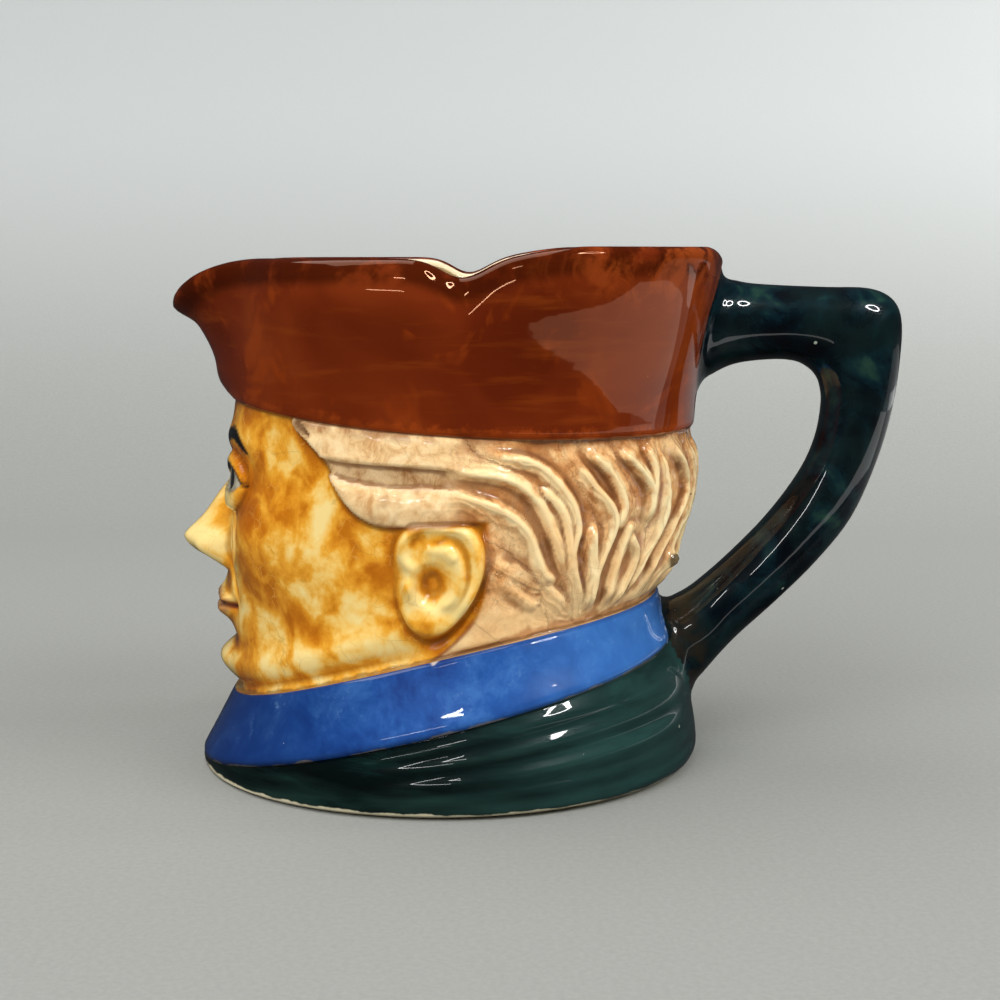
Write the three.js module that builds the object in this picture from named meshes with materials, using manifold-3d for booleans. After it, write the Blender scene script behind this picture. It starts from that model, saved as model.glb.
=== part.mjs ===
// A small glazed character jug, cast in one piece: a head in a pulled-down hat stands on the shoulders
// of a coat with a broad collar, the hat is the mouth of the jug, and a handle joins it at the back.
// Millimetres, +Z up. The origin is the middle of the flat underside, the face looks along -Y and the
// handle is on +Y. Angles run round the jug from the front (0) over +X (90) to the back (180).
import * as THREE from 'three';
import { mergeVertices } from 'three/addons/utils/BufferGeometryUtils.js';
import Module from 'manifold-3d';

// ---- driving dimensions ----
// A level is the height of a line round the jug at its front, side and back.
const COLLAR_BOTTOM = { front: 1.0, side: 13.7, back: 22.4 };
const COLLAR_TOP = { front: 12.5, side: 25.0, back: 30.5 };
const HAT_HEM = { front: 64.8, side: 61.0, back: 59.4 };
const RIM_HEIGHT = 88.6;
const WALL = 3.5;
const LIP_THICKNESS = 3.2;

// Reach: how far the wall stands from the axis at the front, side and back, from bottom to top of a zone.
const COAT_REACH = [
  { at: 0.0, front: 43.2, side: 42.0, back: 43.2 },
  { at: 0.07, front: 43.6, side: 43.0, back: 44.3 },
  { at: 0.15, front: 43.9, side: 43.3, back: 44.7 },
  { at: 0.45, front: 44.1, side: 43.1, back: 43.9 },
  { at: 0.75, front: 44.2, side: 42.4, back: 42.3 },
  { at: 1.0, front: 44.2, side: 41.2, back: 39.2 },
];
// Folds of the coat: where (fraction of its height), how far out and how tall, and the angles over
// which each one rises out of the smooth front.
const COAT_FOLDS = [
  { at: 0.86, out: 0.4, tall: 0.08, starts: 35, full: 80 },
  { at: 0.6, out: 0.35, tall: 0.12, starts: 45, full: 100 },
  { at: 0.38, out: 0.45, tall: 0.13, starts: 55, full: 110 },
];
const COLLAR_REACH = [
  { at: 0.0, front: 44.4, side: 42.0, back: 40.0 },
  { at: 0.5, front: 41.6, side: 39.7, back: 38.2 },
  { at: 1.0, front: 38.7, side: 37.7, back: 37.4 },
];
const HEAD_REACH = [
  { at: 0.0, front: 37.2, side: 36.4, back: 37.0 },
  { at: 0.08, front: 37.4, side: 36.6, back: 38.8 },
  { at: 0.3, front: 37.9, side: 37.3, back: 40.4 },
  { at: 0.55, front: 38.2, side: 37.8, back: 42.7 },
  { at: 0.8, front: 38.4, side: 37.8, back: 43.3 },
  { at: 1.0, front: 37.2, side: 37.4, back: 42.6 },
];
const HAT_REACH = [
  { at: 0.0, front: 38.0, side: 38.4, back: 43.8 },
  { at: 0.25, front: 37.7, side: 38.9, back: 43.9 },
  { at: 0.5, front: 37.2, side: 40.0, back: 45.1 },
  { at: 0.75, front: 36.8, side: 41.4, back: 47.0 },
  { at: 1.0, front: 36.5, side: 42.4, back: 48.0 },
];
// The cavity below the hat: levels and reach from the hem down to the floor.
const FLOOR_HEIGHT = 4.5;
const CAVITY = [
  { front: 63.0, side: 60.0, back: 58.5, reach: { front: 33.8, side: 34.5, back: 39.9 } },
  { front: 52.0, side: 52.0, back: 53.0, reach: { front: 32.9, side: 33.9, back: 39.5 } },
  { front: 41.0, side: 43.0, back: 45.0, reach: { front: 33.0, side: 33.8, back: 38.6 } },
  { front: 27.0, side: 33.0, back: 36.0, reach: { front: 33.0, side: 33.5, back: 35.9 } },
  { front: 14.0, side: 24.0, back: 29.0, reach: { front: 33.6, side: 33.6, back: 34.4 } },
  { front: 9.0, side: 16.0, back: 20.0, reach: { front: 35.6, side: 36.7, back: 36.8 } },
  { front: 6.5, side: 9.5, back: 12.0, reach: { front: 34.6, side: 38.2, back: 39.4 } },
  { front: 5.0, side: 5.6, back: 6.0, reach: { front: 31.5, side: 34.8, back: 36.5 } },
  { front: 4.5, side: 4.5, back: 4.5, reach: { front: 27.0, side: 29.5, back: 31.0 } },
];
const CAVITY_NOSE = { level: 41.0, depth: 4.0, width: 9.0, height: 9.0 };

// The pouring spout: a keel on the front of the hat that grows towards the rim.
const SPOUT_WIDTH = 19;
const SPOUT_REACH = [
  { at: 0.0, out: 0.4 },
  { at: 0.15, out: 2.4 },
  { at: 0.4, out: 3.7 },
  { at: 0.62, out: 5.6 },
  { at: 0.8, out: 8.0 },
  { at: 0.93, out: 11.0 },
  { at: 1.0, out: 11.8 },
];
const SPOUT_LIP = { drop: 6.6, width: 13.5 };
// The brim is pinched in at each side, where two turned-up flaps meet, and the rear flap bulges.
const PINCH = { angle: 95.0, width: 7.0, drop: 2.9, inward: 2.4 };
const REAR_FLAP = { angle: 124.0, width: 20.0, bulge: 1.9, rise: 1.9, starts: 98, full: 122 };
const HANDLE_DIP = { drop: 1.4, starts: 155 };
const CORNER = { angle: 150.0, width: 13.0, bulge: 1.5 };

// Face, on the usual thirds: brow, nose base and chin are a third of the face apart.
const FACE_THIRD = 20.7;
const NOSE_BASE = 35.3;
const BROW = NOSE_BASE + FACE_THIRD;
const CHIN = NOSE_BASE - FACE_THIRD;
const EYE_LEVEL = BROW - 5.3;
const MOUTH = NOSE_BASE - FACE_THIRD / 3;
const EYE_OFFSET = 11.6;
const NOSE = { tip: NOSE_BASE + 4.4, root: BROW - 2.4, out: 7.6, rootWidth: 3.0, tipWidth: 4.8 };
const EYEBALL = { out: 2.9, halfWidth: 6.4, halfHeight: 4.8 };
const LIPS_PARTING = { deep: 1.3, tall: 0.8, halfWidth: 11.5, fade: 3.0 };
// Where the face blends into the side of the head, and the head's half width there.
const FACE_EDGE = { full: 65, ends: 83 };
const HEAD_HALF_WIDTH = 37.6;
// Soft forms of the face: how far out, their place (x on both sides of the nose, height), their size.
const FACE_FORMS = [
  { name: 'brows', out: 1.4, x: 10.5, z: BROW + 1.0, wide: 9.5, tall: 3.2 },
  { name: 'nose root', out: -1.2, x: 0, z: BROW - 4.5, wide: 4.0, tall: 3.0 },
  { name: 'sockets', out: -3.4, x: EYE_OFFSET, z: EYE_LEVEL, wide: 8.0, tall: 5.6 },
  { name: 'nose tip', out: 1.3, x: 0, z: NOSE_BASE + 4.0, wide: 4.2, tall: 3.0 },
  { name: 'nostril wings', out: 2.8, x: 5.2, z: NOSE_BASE + 2.8, wide: 2.4, tall: 2.9 },
  { name: 'cheeks', out: 1.7, x: 19.5, z: NOSE_BASE + 6.2, wide: 8.5, tall: 7.5 },
  { name: 'cheek hollows', out: -0.9, x: 24, z: MOUTH - 0.4, wide: 8, tall: 7 },
  { name: 'temples', out: -0.9, x: 28, z: BROW - 1.0, wide: 6, tall: 7 },
  { name: 'muzzle', out: 1.8, x: 0, z: MOUTH, wide: 12.5, tall: 8 },
  { name: 'upper lip', out: 1.3, x: 0, z: MOUTH + 2.1, wide: 8.0, tall: 1.5 },
  { name: 'lower lip', out: 1.7, x: 0, z: MOUTH - 2.3, wide: 7.4, tall: 1.9 },
  { name: 'under the lip', out: -1.5, x: 0, z: MOUTH - 6.4, wide: 8.5, tall: 2.2 },
  { name: 'chin', out: 2.8, x: 0, z: CHIN + 3.4, wide: 8.6, tall: 4.0 },
];

// Ear: its middle (angle, level), half sizes and how far it stands out, the hollow of its bowl and the
// small knob in front of it.
const EAR = { angle: 88.5, level: 38.2, halfWidth: 8.4, halfHeight: 9.8, out: 3.0, lean: 0.12 };
const EAR_BOWL = { deep: 2.25, forward: 0.12, up: 0.12, edge: 0.72, bottom: 0.4 };
const EAR_KNOB = { out: 1.3, forward: 0.62, down: 0.1, wide: 0.18, tall: 0.24 };

// Hair: its lower edge from the temple over the ear [angle, level], and the locks combed back from there.
const HAIR_EDGE = [[53.0, 62.8], [60.0, 59.0], [67.0, 53.4], [74.0, 48.6], [82.0, 46.6], [98.0, 47.0]];
const HAIR_START = 50;
const BEHIND_EAR = 98.5;
const HAIR_THICKNESS = 0.9;
const FRONT_LOCK = { roll: 0.9, rollUp: 2.6, groove: 0.6, grooveUp: 6.4 };
const LOCKS = 9;
const LOCK_STEPS = 8;
const LOCK_RELIEF = 1.6;
const LOCK_HALF_WIDTH = 3.1;
// The first and last lock: angle at the top and at the nape, and their levels there.
const LOCK_TOP = { first: 92, last: 178, firstLevel: 50, level: 59 };
const LOCK_FOOT = { first: 119, last: 178, firstLevel: 36, level: 30 };
const LOCK_BOW = 9;
const MM_PER_DEGREE = 0.66;

// Handle: matched stations on its outer and inner outline, from the hat's back down to the coat.
const HANDLE_WIDTH = 13.0;
const HANDLE = [
  { outer: [46.2, 87.0], inner: [42.3, 65.0], flare: 3.4 },
  { outer: [48.6, 85.4], inner: [46.6, 68.2], flare: 2.0 },
  { outer: [52.4, 84.3], inner: [51.0, 70.1], flare: 0.6 },
  { outer: [59.0, 83.8], inner: [57.2, 70.8], flare: 0 },
  { outer: [67.0, 83.5], inner: [61.2, 70.5], flare: 0 },
  { outer: [74.0, 83.3], inner: [63.7, 69.3], flare: 0 },
  { outer: [78.1, 81.5], inner: [65.2, 67.7], flare: 0 },
  { outer: [79.8, 78.0], inner: [65.9, 65.8], flare: 0 },
  { outer: [79.8, 71.5], inner: [66.2, 63.0], flare: 0 },
  { outer: [78.7, 62.5], inner: [65.5, 57.8], flare: 0 },
  { outer: [76.2, 53.0], inner: [63.6, 52.6], flare: 0 },
  { outer: [71.9, 42.8], inner: [60.4, 47.4], flare: 0 },
  { outer: [65.8, 34.8], inner: [56.0, 41.8], flare: 0 },
  { outer: [58.7, 27.6], inner: [50.4, 36.0], flare: 0.3 },
  { outer: [51.4, 20.9], inner: [45.6, 31.6], flare: 1.0 },
  { outer: [46.6, 15.6], inner: [42.0, 28.9], flare: 2.2 },
  { outer: [41.8, 9.6], inner: [36.6, 26.6], flare: 3.2 },
];
const HANDLE_SIDES = 16;
const HANDLE_SQUARENESS = 3.0;
const SEAM_TOLERANCE = 0.02;

// Mesh density: columns [to this angle, this many], front to back, and rows.
const HEAD_COLUMNS = [[36, 17], [52, 4], [76, 6], [104, 11], [180, 23]];
const BODY_COLUMNS = [[36, 10], [84, 5], [108, 6], [180, 9]];
const CAVITY_COLUMNS = [[36, 6], [84, 5], [108, 4], [180, 7]];
const FACE_ROWS = [
  12.5, 14.2, 16.4, 18.8, 21.2, 23.2, 25.0, 26.6, 27.8, 28.9, 30.6, 32.6, 34.4, 35.8, 38.2, 41.2,
  44.4, 47.4, 49.6, 51.4, 53.6, 56.4, 60.0, 64.8,
];
const COAT_ROWS = [0, 0.07, 0.2, 0.38, 0.56, 0.74, 0.88, 1];
const COLLAR_ROWS = [0, 0.5, 1];
const HAT_ROWS = [0, 0.1, 0.33, 0.58, 0.78, 0.91, 1];

// ---- small helpers ----
const radians = (degrees) => (degrees * Math.PI) / 180;
const mix = (a, b, t) => a + (b - a) * t;
const bell = (x, width) => Math.exp(-((x / width) ** 2));

function smooth(from, to, x) {
  const t = Math.min(1, Math.max(0, (x - from) / (to - from)));
  return t * t * (3 - 2 * t);
}

// Value of a named field at t, on a smooth curve through a table's rows.
function along(table, field, t) {
  let i = 0;
  while (i < table.length - 2 && t > table[i + 1].at) i += 1;
  const [a, b] = [table[i], table[i + 1]];
  const before = table[Math.max(0, i - 1)];
  const after = table[Math.min(table.length - 1, i + 2)];
  const span = b.at - a.at;
  const u = (t - a.at) / span;
  const slopeA = ((b[field] - before[field]) / (b.at - before.at)) * span;
  const slopeB = ((after[field] - a[field]) / (after.at - a.at)) * span;
  const u2 = u * u;
  const u3 = u2 * u;
  return (
    (2 * u3 - 3 * u2 + 1) * a[field] + (u3 - 2 * u2 + u) * slopeA +
    (3 * u2 - 2 * u3) * b[field] + (u3 - u2) * slopeB
  );
}

// Height of a level line at an angle.
function levelAt(level, angle) {
  const c = Math.cos(radians(angle));
  const middle = (level.front + level.back) / 2;
  return middle + ((level.front - level.back) / 2) * c + (level.side - middle) * (1 - c * c);
}

// Point of a horizontal section with the given reach, and the same moved outward by `out`.
function sectionAt(reach, angle, out = 0) {
  const place = (degrees) => {
    const c = Math.cos(radians(degrees));
    const mean = (reach.front + reach.back) / 2;
    const skew = (reach.front - reach.back) / 2;
    return [reach.side * Math.sin(radians(degrees)), -(mean * c + skew * c * c)];
  };
  const [x, y] = place(angle);
  const [x0, y0] = place(angle - 0.5);
  const [x1, y1] = place(angle + 0.5);
  const length = Math.hypot(x1 - x0, y1 - y0);
  return [x - (out * (y0 - y1)) / length, y + (out * (x0 - x1)) / length];
}

// Reach at fraction t of a zone.
function reachAt(table, t) {
  return {
    front: along(table, 'front', t),
    side: along(table, 'side', t),
    back: along(table, 'back', t),
  };
}

// Angle measured from the front on either side, 0 to 180.
const fromFront = (angle) => (angle > 180 ? 360 - angle : angle);

// ---- coat and collar ----
// Soft folds that run round the coat below the collar and spread apart towards the back.
function coatFolds(angle, t) {
  const a = fromFront(angle);
  const fold = ({ at, out, tall, starts, full }) => out * bell(t - at, tall) * smooth(starts, full, a);
  return COAT_FOLDS.reduce((sum, each) => sum + fold(each), 0);
}

function coat(angle, t) {
  const z = levelAt(COLLAR_BOTTOM, angle) * t;
  const [x, y] = sectionAt(reachAt(COAT_REACH, t), angle, coatFolds(angle, t));
  return [x, y, z];
}

function collar(angle, t) {
  const z = mix(levelAt(COLLAR_BOTTOM, angle), levelAt(COLLAR_TOP, angle), t);
  const [x, y] = sectionAt(reachAt(COLLAR_REACH, t), angle);
  return [x, y, z];
}

// ---- face ----
// The ridge of the nose: straight from its root to its tip, and a quarter round under the tip.
function noseRidge(x, z) {
  const above = (z - NOSE.tip) / (NOSE.root - NOSE.tip);
  const below = (NOSE.tip - z) / (NOSE.tip - NOSE_BASE + 1);
  const profile = above > 0 ? Math.max(0, 1 - above) ** 1.2 : Math.sqrt(Math.max(0, 1 - below ** 2));
  const width = mix(NOSE.tipWidth, NOSE.rootWidth, Math.min(1, Math.max(0, above)));
  return NOSE.out * profile * bell(x, width);
}

function eyeball(x, z) {
  const across = (Math.abs(x) - EYE_OFFSET) / EYEBALL.halfWidth;
  const up = (z - EYE_LEVEL) / EYEBALL.halfHeight;
  return EYEBALL.out * Math.sqrt(Math.max(0, 1 - across ** 2 - up ** 2));
}

function lipsParting(x, z) {
  const { deep, tall, halfWidth, fade } = LIPS_PARTING;
  return -deep * bell(z - MOUTH, tall) * smooth(halfWidth, halfWidth - fade, Math.abs(x));
}

function faceRelief(x, z) {
  const form = (f) => f.out * bell(Math.abs(x) - f.x, f.wide) * bell(z - f.z, f.tall);
  const forms = FACE_FORMS.reduce((sum, each) => sum + form(each), 0);
  return forms + noseRidge(x, z) + eyeball(x, z) + lipsParting(x, z);
}

// ---- ear ----
// u and v run across and up the ear, from -1 to 1.
function earRelief(angle, z) {
  const v = (z - EAR.level) / EAR.halfHeight;
  const u = ((angle - EAR.angle) * MM_PER_DEGREE) / EAR.halfWidth - EAR.lean * v;
  const r = Math.hypot(u, v);
  const plate = EAR.out * smooth(1.12, 0.92, r) * smooth(-0.95, -0.2, u + 0.25 * Math.abs(v));
  const intoBowl = Math.hypot(u + EAR_BOWL.forward, v - EAR_BOWL.up);
  const bowl = -EAR_BOWL.deep * smooth(EAR_BOWL.edge, EAR_BOWL.bottom, intoBowl);
  const knob = bell(u + EAR_KNOB.forward, EAR_KNOB.wide) * bell(v + EAR_KNOB.down, EAR_KNOB.tall);
  return plate + bowl + EAR_KNOB.out * knob;
}

// ---- hair ----
// Lower edge of the hair in front of and above the ear, as a height for each angle.
function hairEdge(a) {
  const table = HAIR_EDGE.map(([at, level]) => ({ at, level }));
  return along(table, 'level', Math.min(Math.max(a, table[0].at), table[table.length - 1].at));
}

// 1 where hair covers the head, 0 on skin.
function hairCover(a, z) {
  const above = smooth(-1.2, 1.2, z - hairEdge(a)) * smooth(HAIR_START, HAIR_START + 5, a);
  const slant = 0.25 * Math.max(0, LOCK_FOOT.firstLevel - z);
  const behindEar = smooth(BEHIND_EAR, BEHIND_EAR + 2.5, a + slant);
  return Math.max(above, behindEar);
}

// Centre line of lock number k: combed back from the temple, over the ear and down to the nape.
function lockLine(k) {
  const u = k / (LOCKS - 1);
  const start = mix(LOCK_TOP.first, LOCK_TOP.last, u);
  const end = mix(LOCK_FOOT.first, LOCK_FOOT.last, (u + 2 * u * u) / 3);
  const top = mix(LOCK_TOP.firstLevel, LOCK_TOP.level, smooth(0, 0.2, u));
  const foot = mix(LOCK_FOOT.firstLevel, LOCK_FOOT.level, smooth(0, 0.25, u));
  const bow = LOCK_BOW * Math.sin(Math.PI * Math.min(1, u + 0.12));
  const line = [];
  for (let i = 0; i <= LOCK_STEPS; i += 1) {
    const t = i / LOCK_STEPS;
    line.push([mix(start, end, t) + 4 * bow * t * (1 - t), mix(top, foot, t ** 1.25)]);
  }
  return line;
}
const LOCK_LINES = Array.from({ length: LOCKS }, (_, k) => lockLine(k));

// Distance over the surface from a place on the head to a line.
function distanceToLine(line, a, z) {
  let best = Infinity;
  for (let i = 0; i + 1 < line.length; i += 1) {
    const [ax, az] = [(line[i][0] - a) * MM_PER_DEGREE, line[i][1] - z];
    const [bx, bz] = [(line[i + 1][0] - a) * MM_PER_DEGREE, line[i + 1][1] - z];
    const [dx, dz] = [bx - ax, bz - az];
    const t = Math.min(1, Math.max(0, -(ax * dx + az * dz) / (dx * dx + dz * dz)));
    best = Math.min(best, Math.hypot(ax + t * dx, az + t * dz));
  }
  return best;
}

function hairRelief(a, z) {
  const nearest = Math.min(...LOCK_LINES.map((line) => distanceToLine(line, a, z)));
  const combed = smooth(88, 100, a);
  const locks = LOCK_RELIEF * (smooth(LOCK_HALF_WIDTH, 0, nearest) - 0.5) * combed;
  const up = z - hairEdge(a);
  const roll = FRONT_LOCK.roll * bell(up - FRONT_LOCK.rollUp, 2.2);
  const groove = FRONT_LOCK.groove * bell(up - FRONT_LOCK.grooveUp, 1.8);
  const frontLock = (roll - groove) * smooth(106, 96, a);
  return HAIR_THICKNESS * smooth(112, 92, a) + locks + frontLock;
}

// ---- head ----
function headRelief(angle, z) {
  const a = fromFront(angle);
  const x = HEAD_HALF_WIDTH * Math.sin(radians(a));
  const cover = hairCover(a, z);
  const face = a < FACE_EDGE.ends ? faceRelief(x, z) * smooth(FACE_EDGE.ends, FACE_EDGE.full, a) : 0;
  const ear = earRelief(a, z) * (1 - cover * smooth(46.5, 48.0, z));
  return mix(face, 0, cover) + ear * (1 - 0.7 * cover) + cover * hairRelief(a, z);
}

function head(angle, t) {
  const z = mix(levelAt(COLLAR_TOP, angle), levelAt(HAT_HEM, angle), t);
  const fade = smooth(0, 0.06, t) * smooth(1.04, 0.94, t);
  const [x, y] = sectionAt(reachAt(HEAD_REACH, t), angle, headRelief(angle, z) * fade);
  return [x, y, z];
}

// Fractions of the head's height for its rows: by FACE_ROWS in front, even behind the ears.
function headRow(i, angle) {
  const rows = FACE_ROWS.length - 1;
  const bottom = FACE_ROWS[0];
  const front = (FACE_ROWS[i] - bottom) / (FACE_ROWS[rows] - bottom);
  return mix(front, i / rows, smooth(30, 80, fromFront(angle)));
}

// ---- hat and rim ----
function spoutOut(a, t) {
  return along(SPOUT_REACH, 'out', t) * bell(a, SPOUT_WIDTH);
}

function rimTop(angle) {
  const a = fromFront(angle);
  const lip = -SPOUT_LIP.drop * bell(a, SPOUT_LIP.width);
  const pinch = -PINCH.drop * bell(a - PINCH.angle, PINCH.width);
  const rear = REAR_FLAP.rise * smooth(REAR_FLAP.starts, REAR_FLAP.full, a);
  const dip = -HANDLE_DIP.drop * smooth(HANDLE_DIP.starts, 180, a);
  return RIM_HEIGHT + lip + pinch + rear + dip;
}

function hatOut(angle, t) {
  const a = fromFront(angle);
  const pinch = -PINCH.inward * bell(a - PINCH.angle, PINCH.width + 1) * smooth(0.2, 1, t);
  const flap = REAR_FLAP.bulge * bell(a - REAR_FLAP.angle, REAR_FLAP.width) * smooth(0.1, 1, t);
  const corner = CORNER.bulge * bell(a - CORNER.angle, CORNER.width) * smooth(0, 0.6, t);
  return spoutOut(a, t) + pinch + flap + corner;
}

// Outside of the hat at fraction t, moved in by `inward` and up by `rise`.
function hat(angle, t, inward = 0, rise = 0) {
  const top = rimTop(angle) - LIP_THICKNESS / 2;
  const z = mix(levelAt(HAT_HEM, angle), top, t) + rise;
  const [x, y] = sectionAt(reachAt(HAT_REACH, t), angle, hatOut(angle, t) - inward);
  return [x, y, z];
}

// ---- cavity ----
function cavity(angle, row) {
  const z = levelAt(row, angle);
  const a = fromFront(angle);
  const x = row.reach.side * Math.sin(radians(a));
  const n = CAVITY_NOSE;
  const nose = a < 60 ? n.depth * bell(x, n.width) * bell(z - n.level, n.height) : 0;
  return [...sectionAt(row.reach, angle, nose), z];
}

// ---- mesh of the hollow jug ----
function columnAngles(columns) {
  const half = [];
  let from = 0;
  for (const [to, count] of columns) {
    for (let i = 0; i < count; i += 1) half.push(from + ((to - from) * i) / count);
    from = to;
  }
  const mirrored = half.slice(1).reverse().map((angle) => 360 - angle);
  return [...half, 180, ...mirrored];
}

const positions = [];
const triangles = [];

function addRing(angles, pointAt) {
  return angles.map((angle) => {
    positions.push(...pointAt(angle));
    return { angle, index: positions.length / 3 - 1 };
  });
}

// Triangles between two rings, whose columns may differ.
function bridge(lower, upper) {
  let i = 0;
  let j = 0;
  while (i < lower.length || j < upper.length) {
    const a = lower[i % lower.length].index;
    const b = upper[j % upper.length].index;
    const nextLower = i < lower.length ? (lower[i + 1]?.angle ?? 360) : Infinity;
    const nextUpper = j < upper.length ? (upper[j + 1]?.angle ?? 360) : Infinity;
    if (nextLower <= nextUpper) {
      i += 1;
      triangles.push(a, lower[i % lower.length].index, b);
    } else {
      j += 1;
      triangles.push(a, upper[j % upper.length].index, b);
    }
  }
}

function cap(ring, centre, facingUp) {
  positions.push(...centre);
  const middle = positions.length / 3 - 1;
  ring.forEach((corner, i) => {
    const next = ring[(i + 1) % ring.length];
    if (facingUp) triangles.push(corner.index, next.index, middle);
    else triangles.push(next.index, corner.index, middle);
  });
}

function hollowJug() {
  const headAngles = columnAngles(HEAD_COLUMNS);
  const bodyAngles = columnAngles(BODY_COLUMNS);
  const cavityAngles = columnAngles(CAVITY_COLUMNS);
  const half = LIP_THICKNESS / 2;
  const rings = [
    ...COAT_ROWS.map((t) => addRing(bodyAngles, (angle) => coat(angle, t))),
    ...COLLAR_ROWS.map((t) => addRing(bodyAngles, (angle) => collar(angle, t))),
    ...FACE_ROWS.map((_, i) => addRing(headAngles, (angle) => head(angle, headRow(i, angle)))),
    ...HAT_ROWS.map((t) => addRing(bodyAngles, (angle) => hat(angle, t))),
    addRing(bodyAngles, (angle) => hat(angle, 1, half * 0.5, half * 0.85)),
    addRing(bodyAngles, (angle) => hat(angle, 1, half * 1.5, half * 0.85)),
    addRing(bodyAngles, (angle) => hat(angle, 1, LIP_THICKNESS)),
    addRing(cavityAngles, (angle) => hat(angle, 0.75, WALL)),
    addRing(cavityAngles, (angle) => hat(angle, 0.45, WALL)),
    addRing(cavityAngles, (angle) => hat(angle, 0.18, WALL)),
    ...CAVITY.map((row) => addRing(cavityAngles, (angle) => cavity(angle, row))),
  ];
  for (let i = 0; i + 1 < rings.length; i += 1) bridge(rings[i], rings[i + 1]);
  cap(rings[0], [0, 0, 0], false);
  cap(rings[rings.length - 1], [0, 0, FLOOR_HEIGHT], true);
  return makeGeometry(positions, triangles);
}

function makeGeometry(points, faces) {
  const geometry = new THREE.BufferGeometry();
  geometry.setAttribute('position', new THREE.Float32BufferAttribute(points, 3));
  geometry.setIndex(faces);
  return geometry;
}

// ---- handle ----
// Rounded-square rings lofted through the stations; both ends lie inside the jug's wall.
function handleGeometry() {
  const points = [];
  const faces = [];
  const round = 2 / HANDLE_SQUARENESS;
  for (const { outer, inner, flare } of HANDLE) {
    for (let k = 0; k < HANDLE_SIDES; k += 1) {
      const turn = (2 * Math.PI * (k + 0.5)) / HANDLE_SIDES;
      const [c, s] = [Math.cos(turn), Math.sin(turn)];
      const across = (HANDLE_WIDTH / 2 + flare) * Math.sign(s) * Math.abs(s) ** round;
      const t = (1 + Math.sign(c) * Math.abs(c) ** round) / 2;
      points.push(across, mix(inner[0], outer[0], t), mix(inner[1], outer[1], t));
    }
  }
  const n = HANDLE_SIDES;
  for (let i = 0; i + 1 < HANDLE.length; i += 1) {
    for (let k = 0; k < n; k += 1) {
      const [a, b] = [i * n + k, i * n + ((k + 1) % n)];
      faces.push(a, b, a + n, b, b + n, a + n);
    }
  }
  const last = (HANDLE.length - 1) * n;
  for (let k = 1; k + 1 < n; k += 1) {
    faces.push(0, k + 1, k);
    faces.push(last, last + k, last + k + 1);
  }
  return makeGeometry(points, faces);
}

// ---- join ----
const manifold = await Module();
manifold.setup();

function toSolid(geometry) {
  const merged = mergeVertices(geometry, 1e-5);
  return new manifold.Manifold(
    new manifold.Mesh({
      numProp: 3,
      vertProperties: new Float32Array(merged.attributes.position.array),
      triVerts: new Uint32Array(merged.index.array),
    }),
  );
}

function toGeometry(solid) {
  const mesh = solid.getMesh();
  return makeGeometry(Array.from(mesh.vertProperties), Array.from(mesh.triVerts));
}

// Joined, with the slivers along the seam cleaned away.
const joined = toSolid(hollowJug()).add(toSolid(handleGeometry()));
const jug = joined.asOriginal().simplify(SEAM_TOLERANCE);

const tobyJug = new THREE.Mesh(
  toGeometry(jug),
  new THREE.MeshStandardMaterial({ color: 0x6b2f1a, roughness: 0.15, metalness: 0.0 }),
);
tobyJug.name = 'toby_jug';

const object = new THREE.Group();
object.add(tobyJug);
export default object;
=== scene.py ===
"""A small glazed character jug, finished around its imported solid.

The jug is one fired piece, so one fine mesh stands for its solid: coat, collar, head, hat, lip and
cavity are rows of one shell, and the handle is joined to it. Sizes are in millimetres in the tables
and become metres, scaled to the frame, when the mesh is made. Angles run round the jug from the face
(0, along -Y) over +X (90) to the handle (180).
"""
import math

import bpy
import numpy as np
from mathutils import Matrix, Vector, kdtree, noise


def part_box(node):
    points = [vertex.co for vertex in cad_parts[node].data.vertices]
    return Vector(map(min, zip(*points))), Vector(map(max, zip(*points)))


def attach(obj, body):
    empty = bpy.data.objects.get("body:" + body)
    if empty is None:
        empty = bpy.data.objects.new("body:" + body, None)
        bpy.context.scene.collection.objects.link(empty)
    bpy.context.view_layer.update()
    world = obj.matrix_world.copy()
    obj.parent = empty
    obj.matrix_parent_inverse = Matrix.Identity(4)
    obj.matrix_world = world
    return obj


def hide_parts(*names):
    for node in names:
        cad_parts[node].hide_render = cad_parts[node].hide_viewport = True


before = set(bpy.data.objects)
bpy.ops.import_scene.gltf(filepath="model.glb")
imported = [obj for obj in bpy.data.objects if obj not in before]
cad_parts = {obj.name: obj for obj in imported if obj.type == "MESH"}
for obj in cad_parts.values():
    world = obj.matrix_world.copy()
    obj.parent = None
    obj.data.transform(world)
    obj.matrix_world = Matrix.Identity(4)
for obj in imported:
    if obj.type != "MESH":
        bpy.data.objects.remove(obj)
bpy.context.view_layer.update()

# ---- sizes ----
JUG_HEIGHT = 90.26
LOW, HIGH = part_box("toby_jug")
MM = (HIGH[2] - LOW[2]) / JUG_HEIGHT

# Levels: height of a line round the jug at its front, side and back.
COLLAR_BOTTOM = (1.0, 13.7, 22.4)
COLLAR_TOP = (12.5, 25.0, 30.5)
HAT_HEM = (64.8, 61.0, 59.4)
RIM_HEIGHT = 88.6
WALL = 3.5
LIP_THICKNESS = 3.2
RIM_SHOULDER = {"angle": 82.0, "width": 44.0, "lean": 0.74, "height": 8.5}

# Reach of the wall from the axis: fraction of the zone's height, then front, side and back.
COAT_REACH = [
    (0.0, 43.0, 41.8, 43.0), (0.03, 43.4, 42.4, 43.6), (0.07, 43.6, 43.0, 44.3), (0.15, 43.9, 43.3, 44.7),
    (0.45, 44.1, 43.1, 43.9), (0.75, 44.2, 42.4, 42.3), (0.97, 44.2, 41.3, 39.5), (1.0, 44.0, 41.0, 39.2),
]
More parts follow.
